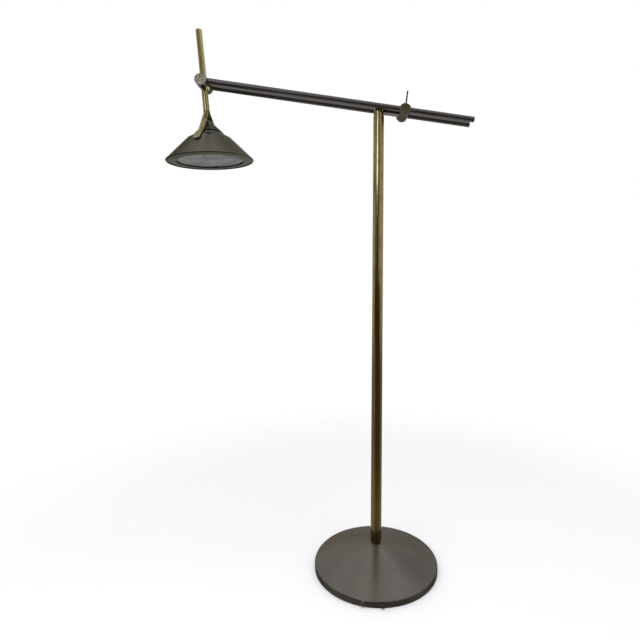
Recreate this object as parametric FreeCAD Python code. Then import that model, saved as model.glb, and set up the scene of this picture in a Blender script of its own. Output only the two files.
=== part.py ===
import FreeCAD, Part
import math
import os

# Bridge floor lamp. Millimetres, +Z up. The origin is the centre of the base's underside,
# on the floor; the stem stands on +Z, the arm lies along X and its shade hangs on the -X side.

# ---- clearances and small common sizes
FIT = 0.05              # radial play of a pressed, threaded or running fit
FLAT_GAP = 0.1          # play between flat faces that turn on each other
SIDE_GAP = 0.3          # play between pieces that pass each other
END_GAP = 1.0           # room past the end of a screw, a nipple or a bore
HEX_KEY_R = 2.9         # corners of the hexagon sockets in the bolt and the bar's screw

# ---- base
BASE_R = 135.7
RIM_H = 12.5            # height at which the cone would meet the rim wall
RIM_ROUND = 3.0
CONE_TOP = 50.9         # floor to the flat on top of the cone
SHELL_T = 1.5
SHELL_LIFT = 0.6        # floor to the lower edge of the rim
FELT_T = 1.0
PLATE_T = 2.0
WEIGHT_BORE_R = 62.0
WEIGHT_T = 12.5
WEIGHT_GAP = 0.9        # weight's upper edge to the shell above it
POST_COUNT = 3
POST_TURN = 30.0        # degrees round the base to the first post
POST_IN = 26.0          # posts inside the weight's edge
POST_R = 5.0
PLATE_SCREW_R = 2.5
PLATE_SCREW_HEAD_R = 4.6
PLATE_SCREW_GRIP = 8.0  # thread length inside a post

# ---- transformer
CORE_R = 39.0
CORE_BORE_R = 23.0
CORE_ROOM = 1.9         # transformer's bolt to the nipple above it
WINDING_T = 5.0
WINDING_ROUND = 4.0
TRANSFORMER_BOLT_R = 3.0
TRANSFORMER_NUT_R = 6.0
TRANSFORMER_NUT_H = 5.0
CLAMP_DISC_R = 30.0
CLAMP_DISC_T = 2.0

# ---- switch and cord gland in the rim
SWITCH_TURN = -16.0     # degrees round the rim from the front
SWITCH_Z = 6.7
SWITCH_BUSH_R = 3.2
SWITCH_RING_R = 5.0
SWITCH_RING_T = 2.0
SWITCH_BODY_W = 13.0
SWITCH_BODY_H = 6.0
SWITCH_BODY_L = 13.0
BUTTON_R = 2.4
BUTTON_ROUND = 0.8
BUTTON_PROUD = 2.6
BUTTON_TRAVEL = 2.0
BUTTON_STEM_L = 6.0
GLAND_TURN = 0.5
GLAND_Z = 5.8
GLAND_NECK_R = 2.5
GLAND_TAIL = 1.7        # neck inside the rim
GLAND_FLANGE_R = 3.6
GLAND_FLANGE_T = 1.5
GLAND_NOSE_R = 2.9
GLAND_NOSE_L = 4.0
CORD_BORE_R = 1.6

# ---- stem
STEM_R = 12.2
STEM_WALL = 1.5
FERRULE_STEP = 0.6      # ferrule inside the stem's outside
FERRULE_H = 10.8
STEM_L = 924.3
NIPPLE_R = 6.5
NIPPLE_BORE_R = 4.5
NIPPLE_TAIL = 11.0      # nipple below the flat on top of the cone
NIPPLE_NUT_R = 11.0
NIPPLE_NUT_H = 5.0
HUB_DISC_R = 24.0
PLUG_L = 20.0
NIPPLE_GRIP = 16.0      # thread length inside the stem's plug
SWIVEL_BUSH_L = 38.0
SPIGOT_R = 6.0
SPIGOT_BORE_R = 3.0
SPIGOT_TAIL = 5.0       # spigot below its bush, for the clip
CLIP_GROOVE_R = 5.2
CLIP_GAP = 1.2          # clip to the inside of the stem
CLIP_T = 1.4
SWIVEL_WASHER_T = 0.8

# ---- swivel head and arm tilt
SWIVEL_STEP = 0.15      # head outside the stem's outside
PIVOT_UP = 40.7         # foot of the head to the pivot
ARM_TILT = 7.19         # degrees, shade side up
HEAD_OVER_PIVOT = 7.0
SLOT_ROOM = 9.0         # slot below the tongue, for the arm's tilt
TONGUE_R = 8.5
TONGUE_W = 10.0
SHOULDER_GAP = 8.75     # swivel head to the shoulder of the bar, for the arm's tilt
TILT_BOLT_R = 3.0
TILT_BOLT_HEAD_R = 4.5
TILT_BOLT_SEAT = 1.2    # wall under the bolt's head
TILT_BOLT_SUNK = 0.95   # bolt's ends inside the head's outside
TILT_WASHER_R = 7.5
TILT_WASHER_T = 1.0
BAR_W = 18.0
BAR_H = 19.0
BAR_ROUND = 2.5

# ---- arm rods
ROD_R = 6.35
ROD_WALL = 1.2
ROD_GAP = 0.4           # between the swivel head and each rod
ROD_TAIL_X = 216.0      # pivot to the tail ends, along the arm
PLUG_FACE_T = 1.5
ROD_PLUG_L = 9.0

# ---- the two cross cylinders, one at the clamp and one at the lamp head
CROSS_R = 13.1
CROSS_DROP = 2.2        # their axes lie below the rods' axes
CROSS_EDGE = 0.8        # chamfer on their end edges
CLAMP_X = 57.4
CLAMP_WALL = 1.2        # outside a rod's bush
BUSH_T = 0.6
BAR_POCKET = 8.5        # clamp axis to the bar's seat
BAR_SCREW_R = 3.0
BAR_SCREW_HEAD_R = 5.0
BAR_SCREW_HEAD_T = 4.0
BAR_SCREW_GRIP = 8.5    # thread length inside the bar
RING_T = 4.6
RING_WALL = 3.4
FACE_RECESS = 0.6
FACE_HOLE_R = 1.5
FACE_HOLE_CIRCLE_R = 5.2
FACE_HOLE_DEPTH = 2.5
LEVER_R = 1.7
LEVER_ROUND = 0.7
LEVER_L = 27.8          # length outside the ring
LEVER_GRIP = 2.4        # length inside the ring's wall

# ---- lamp head
HEAD_X = 399.0          # pivot to the head's axis, along the arm
HEAD_BARREL_W = 19.2
BLOCK_OUT = 8.0         # rod's axis to a block's outer face
BLOCK_SEAT = 5.2        # head axis to the bottom of a rod's socket
SET_SCREW_R = 2.0
SET_SCREW_X = 8.6       # from the head's axis
HEAD_STUD_R = 4.0
FAR_CAP_T = 3.0

# ---- upright rod and fork
LAMP_ROD_R = 7.0
LAMP_ROD_WALL = 1.5
LAMP_ROD_LEAN = 6.3     # degrees, top away from the stem
LAMP_ROD_UP = 126.0
LAMP_ROD_DOWN = 60.0
ROD_CAP_H = 4.0
ROD_CAP_ROUND = 2.6
ROD_CAP_PLUG_L = 8.0
ROD_BUSH_T = 0.8
ROD_BUSH_IN = 2.5       # rod bush's ends inside the barrel's outside
FORK_TURN = -12.4       # degrees round the upright rod
HUB_STEP = 0.25         # fork's hub outside the upright rod
FORK_HUB_H = 5.0
FORK_L = 74.2           # rod's lower end to the fork's screws, along the rod
FORK_SPIGOT_L = 12.0
FORK_BORE_R = 3.0
LEG_W = 13.0            # legs are half-round bars, flat side inwards
LEG_T = 4.5
LEG_ROOT = 1.5          # rod's lower end to where the legs' flat sides meet
LEG_STRAIGHT = 32.0     # a leg's bend to its screw; this stretch lies along the shade
LEG_SEAT_GAP = 0.2      # leg face to the shade's cone
PAD_W = 16.0            # flattened foot with a round end
PAD_T = 3.0
PAD_L = 19.0            # its widening above the screw
PAD_FLAT = 7.0          # screw to the foot of the ramp down from the half-round
PAD_RAMP = 25.0         # degrees
FORK_SCREW_R = 2.0
FORK_SCREW_HEAD_R = 3.6
FORK_SCREW_HEAD_T = 2.2
FORK_SCREW_GRIP = 2.4   # thread length inside a leg

# ---- shade, measured from the plane of its mouth
SHADE_TILT = 3.2        # degrees against the upright rod
SHADE_R = 95.6
SHADE_EDGE_H = 3.2      # also the width of the rounded edge
SHADE_LIP_W = 1.6
SHADE_PITCH = 45.84     # degrees, the main cone's slope
SHADE_T = 1.0
SHOULDER_R = 48.2
COLLAR_IN = 12.5        # collar's edge inside the shoulder
COLLAR_UP = 7.1         # and above it
VENT_IN = 3.6           # vent's edge inside the collar's edge
VENT_UP = 4.4           # and above it
FORK_SEAT_UNDER = 9.0   # fork's screws below the shoulder
CAP_GAP = 3.7           # air gap under the vent cap
CAP_IN = 3.3            # vent cap's edge inside the vent's edge
CAP_SKIRT_IN = 17.3     # skirt, a cone up to the cap's crown
CAP_SKIRT_H = 17.3
CAP_CROWN_OUT = 1.6     # crown's top outside the cap nut
CAP_CROWN_H = 6.7
CAP_T = 1.0
CAP_WALL = 1.4          # the vent cap's conical wall, measured level
CAP_NUT_R = 6.2
CAP_NUT_H = 2.0

# ---- inside the shade
SHADE_NIPPLE_R = 5.0
SHADE_NIPPLE_BORE_R = 3.2
CARRIER_DROP = 1.0      # carrier's top below the collar's edge
CARRIER_T = 1.5
CARRIER_NUT_R = 9.0
CARRIER_NUT_H = 4.0
SLEEVE_WALL = 0.9
HOLDER_R = 9.0
HOLDER_FLANGE_R = 13.0
HOLDER_FLANGE_T = 1.6
HOLDER_GAP = 0.2        # holder to the carrier's nut
HOLDER_L = 14.2
HOLDER_NECK_L = 2.4     # holder above its flange
HOLDER_SOCKET = 4.0     # depth of thread on the nipple
PIN_PITCH = 6.35
PIN_R = 0.6
PIN_GRIP = 7.0
PIN_ROOT = 2.0          # pin length sealed in the capsule
BULB_GAP = 0.5          # between the holder and the capsule
BULB_R = 5.8
BULB_CLEAR = 5.1        # capsule's tip to the glass
BULB_ROUND = 4.6
REFLECTOR_NECK_OUT = 1.0    # flat neck outside the holder's flange
REFLECTOR_IN = 3.4      # reflector's mouth inside the glass's edge
REFLECTOR_LIFT = 3.6    # reflector's mouth above the glass
REFLECTOR_T = 0.8
REFLECTOR_STEPS = 8
BEZEL_W = 20.0
BEZEL_T = 1.2
LIP_T = 1.0
GLASS_SLOT = 1.6        # ring-shaped gap between the glass and the bezel
GLASS_T = 3.0
GLASS_CLIP_COUNT = 2
GLASS_CLIP_TURN = -75.6     # degrees round the shade to the first clip
GLASS_CLIP_W = 5.0
GLASS_CLIP_T = 1.0
GLASS_CLIP_GRIP = 10.4  # clip over the glass
GLASS_CLIP_FOOT = 8.0   # clip over the bezel

# ---- base and stem, worked out from the sizes above
CONE_SLOPE = (CONE_TOP - RIM_H) / (BASE_R - STEM_R)
CONE_WALL = SHELL_T * math.hypot(1, CONE_SLOPE)     # the shell's wall, measured upright
PLATE_TOP = FELT_T + PLATE_T
BASE_BORE_R = BASE_R - SHELL_T
WEIGHT_TOP = PLATE_TOP + WEIGHT_T
WEIGHT_R = BASE_R - (WEIGHT_TOP + WEIGHT_GAP + CONE_WALL - RIM_H) / CONE_SLOPE
POST_CIRCLE_R = WEIGHT_R - POST_IN
CORE_LOW = PLATE_TOP + WINDING_T
NIPPLE_LOW = CONE_TOP - NIPPLE_TAIL
BOLT_TOP = NIPPLE_LOW - CORE_ROOM
NUT_TOP = BOLT_TOP - END_GAP
CORE_H = NUT_TOP - TRANSFORMER_NUT_H - CLAMP_DISC_T - WINDING_T - CORE_LOW
STEM_FOOT = CONE_TOP + FERRULE_H
STEM_TOP = STEM_FOOT + STEM_L
STEM_BORE_R = STEM_R - STEM_WALL
FERRULE_R = STEM_R - FERRULE_STEP
CLIP_R = STEM_BORE_R - CLIP_GAP

# ---- swivel head, clamp and arm, worked out
SWIVEL_R = STEM_R + SWIVEL_STEP
SWIVEL_FOOT = STEM_TOP + SWIVEL_WASHER_T
PIVOT_Z = SWIVEL_FOOT + PIVOT_UP
SLOT_W = TONGUE_W + 2 * (TILT_WASHER_T + 2 * FIT)
SLOT_UNDER_PIVOT = TONGUE_R + SLOT_ROOM
TONGUE_L = SWIVEL_R + SHOULDER_GAP                  # pivot to the shoulder of the bar
ROD_Y = SWIVEL_R + ROD_GAP + ROD_R
BUSH_R = ROD_R + FIT + BUSH_T
CLAMP_HALF = ROD_Y + BUSH_R + FIT + CLAMP_WALL
RING_BORE_R = CROSS_R - RING_WALL
LEVER_ROOT = CROSS_R - LEVER_GRIP
LEVER_TIP = CROSS_R + LEVER_L
ROD_BUSH_R = LAMP_ROD_R + FIT + ROD_BUSH_T
ROD_BUSH_HALF = CROSS_R - ROD_BUSH_IN
HEAD_STUD_TIP = ROD_BUSH_R + FLAT_GAP + SIDE_GAP
BLOCK_INNER = HEAD_BARREL_W / 2 + SIDE_GAP
BLOCK_OUTER = ROD_Y + BLOCK_OUT
FORK_HUB_R = LAMP_ROD_R + HUB_STEP
LEG_ROUND_R = (LEG_W ** 2 / 4 + LEG_T ** 2) / (2 * LEG_T)

# ---- shade, worked out
SHADE_SLOPE = math.tan(math.radians(SHADE_PITCH))
SHADE_RUN = SHADE_R - SHOULDER_R
SHADE_RISE = SHADE_RUN * SHADE_SLOPE
SHADE_LEN = math.hypot(SHADE_RUN, SHADE_RISE)
SHADE_WALL = SHADE_T * SHADE_LEN / SHADE_RISE       # the shade's wall, measured level
SHOULDER_H = SHADE_EDGE_H + SHADE_RISE
COLLAR_R = SHOULDER_R - COLLAR_IN
COLLAR_H = SHOULDER_H + COLLAR_UP
VENT_R = COLLAR_R - VENT_IN
VENT_H = COLLAR_H + VENT_UP
FORK_SEAT_H = SHOULDER_H - FORK_SEAT_UNDER
FORK_SEAT_R = SHOULDER_R + FORK_SEAT_UNDER / SHADE_SLOPE
FORK_SEAT_DROP = LAMP_ROD_DOWN + FORK_L
CAP_LOW = VENT_H + CAP_GAP
CAP_R = VENT_R - CAP_IN
CAP_NECK_H = CAP_LOW + CAP_SKIRT_H
CAP_TOP_H = CAP_NECK_H + CAP_CROWN_H
CAP_TOP_R = CAP_NUT_R + CAP_CROWN_OUT
SHADE_MOUTH_R = SHADE_R - SHADE_EDGE_H
SHADE_LIP_R = SHADE_MOUTH_R - SHADE_LIP_W
BEZEL_BORE_R = SHADE_MOUTH_R - BEZEL_W
GLASS_R = BEZEL_BORE_R - GLASS_SLOT
GLASS_UNDER = LIP_T + BEZEL_T + GLASS_CLIP_T + 2 * FLAT_GAP
GLASS_TOP = GLASS_UNDER + GLASS_T
CARRIER_H = COLLAR_H - CARRIER_DROP - CARRIER_T
HOLDER_TOP = CARRIER_H - CARRIER_NUT_H - HOLDER_GAP
HOLDER_BOTTOM = HOLDER_TOP - HOLDER_L
HOLDER_SEAT = HOLDER_TOP - HOLDER_NECK_L - HOLDER_FLANGE_T
REFLECTOR_TOP = HOLDER_SEAT - REFLECTOR_T
BULB_TOP = HOLDER_BOTTOM - BULB_GAP
BULB_LOW = GLASS_TOP + BULB_CLEAR

X = FreeCAD.Vector(1, 0, 0)
Y = FreeCAD.Vector(0, 1, 0)
Z = FreeCAD.Vector(0, 0, 1)


def vec(x, y, z):
    return FreeCAD.Vector(x, y, z)


def turned(axis, degrees):
    return FreeCAD.Placement(vec(0, 0, 0), FreeCAD.Rotation(axis, degrees))


def moved(x, y, z):
    return FreeCAD.Placement(vec(x, y, z), FreeCAD.Rotation())


def place(shape, frame):
    """The shape, carried from its own frame into the frame given."""
    copy = shape.copy()
    copy.Placement = frame.multiply(copy.Placement)
    return copy


def rod(radius, start, end, axis=Z, through=vec(0, 0, 0)):
    """A cylinder along an axis, from one place on it to another."""
    base = through + axis * min(start, end)
    return Part.makeCylinder(radius, abs(end - start), base, axis)


def tube(outer, inner, start, end, axis=Z, through=vec(0, 0, 0)):
    return rod(outer, start, end, axis, through).cut(rod(inner, start - 1, end + 1, axis, through))


def block(x, y, z):
    """A box between pairs of places along X, Y and Z."""
    return Part.makeBox(x[1] - x[0], y[1] - y[0], z[1] - z[0], vec(x[0], y[0], z[0]))


def turned_solid(outline):
    """A body of revolution about Z from a list of (radius, height) corners."""
    corners = [vec(r, 0, h) for r, h in outline]
    face = Part.Face(Part.makePolygon(corners + corners[:1]))
    return face.revolve(vec(0, 0, 0), Z, 360)


def hexagon(radius, start, end, axis=Z, through=vec(0, 0, 0)):
    """A hexagon prism along an axis; the radius is that of its corners."""
    corners = [vec(radius * math.cos(math.radians(a)), radius * math.sin(math.radians(a)), 0)
               for a in range(0, 420, 60)]
    prism = Part.Face(Part.makePolygon(corners)).extrude(Z * (end - start))
    return place(prism, FreeCAD.Placement(through + axis * start, FreeCAD.Rotation(Z, axis)))


def hex_nut(radius, bore, start, end):
    return hexagon(radius, start, end).cut(rod(bore, start - 1, end + 1))


def circles(solid):
    """The solid's full circular edges."""
    return [edge for edge in solid.Edges if edge.Closed and edge.Curve.TypeId == "Part::GeomCircle"]


def edged_cylinder(radius, start, end, axis, through=vec(0, 0, 0)):
    """A cylinder with both end edges chamfered."""
    solid = rod(radius, start, end, axis, through)
    return solid.makeChamfer(CROSS_EDGE, circles(solid))


def around(count, first=0.0):
    """Angles of a ring of equal things."""
    return [first + 360.0 * i / count for i in range(count)]


# ---- frames of the leaning assemblies
ARM = FreeCAD.Placement(vec(0, 0, PIVOT_Z), FreeCAD.Rotation(Y, ARM_TILT))
CLAMP_AXIS = vec(CLAMP_X, 0, -CROSS_DROP)
HEAD_AXIS = vec(-HEAD_X, 0, -CROSS_DROP)
LAMP_ROD = FreeCAD.Placement(ARM.multVec(HEAD_AXIS), FreeCAD.Rotation(Y, -LAMP_ROD_LEAN))
FORK = LAMP_ROD.multiply(turned(Z, FORK_TURN))
SHADE_SEAT = FORK.multiply(moved(0, 0, -FORK_SEAT_DROP)).multiply(turned(Y, SHADE_TILT))
SHADE = SHADE_SEAT.multiply(moved(0, 0, -FORK_SEAT_H))
SWITCH = turned(Z, SWITCH_TURN).multiply(moved(0, 0, SWITCH_Z))
GLAND = turned(Z, GLAND_TURN).multiply(moved(0, 0, GLAND_Z))


def cone_top(radius, drop=0.0):
    """Height of the base's cone at a radius, or of a surface below it."""
    return RIM_H + (BASE_R - radius) * CONE_SLOPE - drop


def base_profile(rim_radius, rounding, drop, foot, crown):
    """Half section under the base's outer or inner skin, closed along the axis."""
    slope = math.atan(CONE_SLOPE)
    corner = cone_top(rim_radius, drop)
    tangent = rounding * math.tan((math.pi / 2 - slope) / 2)
    wall_end = vec(rim_radius, 0, corner - tangent)
    cone_start = vec(rim_radius - tangent * math.cos(slope), 0, corner + tangent * math.sin(slope))
    centre = vec(rim_radius - rounding, 0, wall_end.z)
    half_turn = (math.pi / 2 - slope) / 2
    middle = centre + vec(rounding * math.cos(half_turn), 0, rounding * math.sin(half_turn))
    flat_r = BASE_R - (crown + drop - RIM_H) / CONE_SLOPE
    edges = [Part.makeLine(vec(0, 0, foot), vec(rim_radius, 0, foot)),
             Part.makeLine(vec(rim_radius, 0, foot), wall_end),
             Part.Arc(wall_end, middle, cone_start).toShape(),
             Part.makeLine(cone_start, vec(flat_r, 0, crown)),
             Part.makeLine(vec(flat_r, 0, crown), vec(0, 0, crown)),
             Part.makeLine(vec(0, 0, crown), vec(0, 0, foot))]
    return Part.Face(Part.Wire(edges)).revolve(vec(0, 0, 0), Z, 360)


def base_space():
    """The room inside the shell."""
    crown = CONE_TOP - SHELL_T
    return base_profile(BASE_BORE_R, RIM_ROUND - SHELL_T, CONE_WALL, SHELL_LIFT - 1, crown)


def make_base():
    outer = base_profile(BASE_R, RIM_ROUND, 0.0, SHELL_LIFT, CONE_TOP)
    shell = outer.cut(base_space()).cut(rod(NIPPLE_R + FIT, 0, CONE_TOP + 1))
    wall = (-BASE_R - 1, -BASE_BORE_R + 2)
    shell = shell.cut(place(rod(SWITCH_BUSH_R + FIT, wall[0], wall[1], Y), SWITCH))
    shell = shell.cut(place(rod(GLAND_NECK_R + FIT, wall[0], wall[1], Y), GLAND))

    post_angles = around(POST_COUNT, POST_TURN)
    posts = []
    holes = []
    screws = []
    for angle in post_angles:
        spot = vec(POST_CIRCLE_R, 0, 0)
        hole = rod(PLATE_SCREW_R + FIT, 0, WEIGHT_TOP + PLATE_SCREW_GRIP, Z, spot)
        sink = Part.makeCone(PLATE_SCREW_HEAD_R + FIT, PLATE_SCREW_R + FIT, PLATE_T, spot + Z * FELT_T)
        head = Part.makeCone(PLATE_SCREW_HEAD_R, PLATE_SCREW_R, PLATE_T, spot + Z * FELT_T)
        shank = rod(PLATE_SCREW_R, PLATE_TOP, WEIGHT_TOP + PLATE_SCREW_GRIP - END_GAP, Z, spot)
        post = rod(POST_R, WEIGHT_TOP, CONE_TOP, Z, spot).common(base_space()).cut(hole)
        around_z = turned(Z, angle)
        posts.append(place(post, around_z))
        holes.append(place(hole.fuse(sink), around_z))
        screws.append(place(head.fuse(shank), around_z))
    drilled = Part.makeCompound(holes)
    bolt_hole = rod(TRANSFORMER_BOLT_R + FIT, 0, PLATE_TOP + 1)
    bolt_sink = Part.makeCone(TRANSFORMER_NUT_R + FIT, TRANSFORMER_BOLT_R + FIT, PLATE_T, Z * FELT_T)
    plate = rod(BASE_BORE_R - SIDE_GAP, FELT_T, PLATE_TOP).cut(drilled).cut(bolt_hole.fuse(bolt_sink))
    weight = tube(WEIGHT_R, WEIGHT_BORE_R, PLATE_TOP, WEIGHT_TOP).cut(drilled)
    felt = rod(BASE_BORE_R - SIDE_GAP, 0, FELT_T)
    return {"base_shell": shell, "base_posts": posts, "plate_screws": screws,
            "base_plate": plate, "base_weight": weight, "felt_pad": felt}


def make_transformer():
    core = tube(CORE_R, CORE_BORE_R, CORE_LOW, CORE_LOW + CORE_H)
    top = CORE_LOW + CORE_H + WINDING_T
    winding = tube(CORE_R + WINDING_T, CORE_BORE_R - WINDING_T, PLATE_TOP, top)
    winding = winding.makeFillet(WINDING_ROUND, circles(winding)).cut(core)
    disc_top = top + CLAMP_DISC_T
    nut = tube(CLAMP_DISC_R, TRANSFORMER_BOLT_R + FIT, top, disc_top)
    nut = nut.fuse(hex_nut(TRANSFORMER_NUT_R, TRANSFORMER_BOLT_R + FIT, disc_top, NUT_TOP))
    head = Part.makeCone(TRANSFORMER_NUT_R, TRANSFORMER_BOLT_R, PLATE_T, Z * FELT_T)
    bolt = head.fuse(rod(TRANSFORMER_BOLT_R, PLATE_TOP, BOLT_TOP))
    return {"transformer_core": core, "transformer_winding": winding,
            "transformer_nut": nut, "transformer_bolt": bolt}


def make_switch():
    face = -BASE_R
    inner = -BASE_BORE_R + SIDE_GAP
    bush_end = face - SWITCH_RING_T
    half_w = SWITCH_BODY_W / 2
    half_h = SWITCH_BODY_H / 2
    box_back = inner + SWITCH_BODY_L
    body = block((-half_w, half_w), (inner + SIDE_GAP, box_back), (-half_h, half_h))
    body = body.fuse(rod(SWITCH_BUSH_R, bush_end, inner + SIDE_GAP, Y))
    stem_end = bush_end + BUTTON_STEM_L
    body = body.cut(rod(BUTTON_R + FIT, bush_end - 1, stem_end + BUTTON_TRAVEL + SIDE_GAP, Y))
    ring = tube(SWITCH_RING_R, SWITCH_BUSH_R + FIT, bush_end, face, Y)
    button = rod(BUTTON_R, bush_end - BUTTON_PROUD, stem_end, Y)
    rim = [e for e in circles(button) if e.CenterOfMass.y < bush_end - BUTTON_PROUD / 2]
    button = button.makeFillet(BUTTON_ROUND, rim)
    tail = -BASE_BORE_R + GLAND_TAIL
    neck = rod(GLAND_NECK_R, face - GLAND_FLANGE_T, tail, Y)
    flange = rod(GLAND_FLANGE_R, face - GLAND_FLANGE_T, face, Y)
    nose_end = face - GLAND_FLANGE_T - GLAND_NOSE_L
    nose = Part.makeCone(GLAND_NOSE_R, GLAND_NECK_R, GLAND_NOSE_L, vec(0, face - GLAND_FLANGE_T, 0), -Y)
    gland = neck.fuse(flange).fuse(nose).cut(rod(CORD_BORE_R, nose_end - 1, tail + 1, Y))
    return {"switch_body": place(body, SWITCH), "switch_ring": place(ring, SWITCH),
            "push_button": place(button, SWITCH), "cord_gland": place(gland, GLAND)}


def make_stem():
    seat = CONE_TOP - SHELL_T
    nipple = tube(NIPPLE_R, NIPPLE_BORE_R, NIPPLE_LOW, STEM_FOOT + NIPPLE_GRIP)
    nut_low = NIPPLE_LOW + END_GAP
    disc_low = nut_low + NIPPLE_NUT_H
    disc = tube(HUB_DISC_R, NIPPLE_R + FIT, disc_low, seat).common(base_space())
    nut = hex_nut(NIPPLE_NUT_R, NIPPLE_R + FIT, nut_low, disc_low)
    ferrule = tube(FERRULE_R, NIPPLE_R + FIT, CONE_TOP, STEM_FOOT)
    plug = tube(STEM_BORE_R - FIT, NIPPLE_R + FIT, STEM_FOOT, STEM_FOOT + PLUG_L)
    stem = tube(STEM_R, STEM_BORE_R, STEM_FOOT, STEM_TOP)
    bush = tube(STEM_BORE_R - FIT, SPIGOT_R + FIT, STEM_TOP - SWIVEL_BUSH_L, STEM_TOP)
    washer = tube(STEM_R, SPIGOT_R + FIT, STEM_TOP, SWIVEL_FOOT - FLAT_GAP)
    return {"stem_nipple": nipple, "hub_disc": disc, "nipple_nut": nut, "base_ferrule": ferrule,
            "stem_plug": plug, "stem_tube": stem, "swivel_bush": bush, "swivel_washer": washer}


def make_swivel():
    top = PIVOT_Z + HEAD_OVER_PIVOT
    bush_foot = STEM_TOP - SWIVEL_BUSH_L
    spigot_foot = bush_foot - SPIGOT_TAIL
    head = rod(SWIVEL_R, SWIVEL_FOOT, top).fuse(rod(SPIGOT_R, spigot_foot, SWIVEL_FOOT))
    half_slot = SLOT_W / 2
    reach = SWIVEL_R + 1
    slot = block((-reach, reach), (-half_slot, half_slot), (PIVOT_Z - SLOT_UNDER_PIVOT, top + 1))
    head = head.cut(slot).cut(rod(SPIGOT_BORE_R, spigot_foot - 1, top))
    clip_top = bush_foot - FLAT_GAP
    clip_low = clip_top - CLIP_T
    head = head.cut(tube(SPIGOT_R + 1, CLIP_GROOVE_R, clip_low, clip_top))
    clip = tube(CLIP_R, CLIP_GROOVE_R + FIT, clip_low + FIT, clip_top - FIT)
    mouth = CLIP_GROOVE_R / 2
    clip = clip.cut(block((0, CLIP_R + 1), (-mouth, mouth), (clip_low - 1, clip_top + 1)))

    at_pivot = Z * PIVOT_Z
    half = SWIVEL_R - TILT_BOLT_SUNK
    head_in = -SLOT_W / 2 - TILT_BOLT_SEAT
    head = head.cut(rod(TILT_BOLT_R + FIT, -reach, reach, Y, at_pivot))
    head = head.cut(rod(TILT_BOLT_HEAD_R + FIT, -reach, head_in, Y, at_pivot))
    bolt = rod(TILT_BOLT_R, -half, half, Y, at_pivot).fuse(rod(TILT_BOLT_HEAD_R, -half, head_in, Y, at_pivot))
    bolt = bolt.cut(hexagon(HEX_KEY_R, -half - 1, (head_in - half) / 2, Y, at_pivot))
    return {"swivel_head": head, "spigot_clip": clip, "tilt_bolt": bolt}


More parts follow.
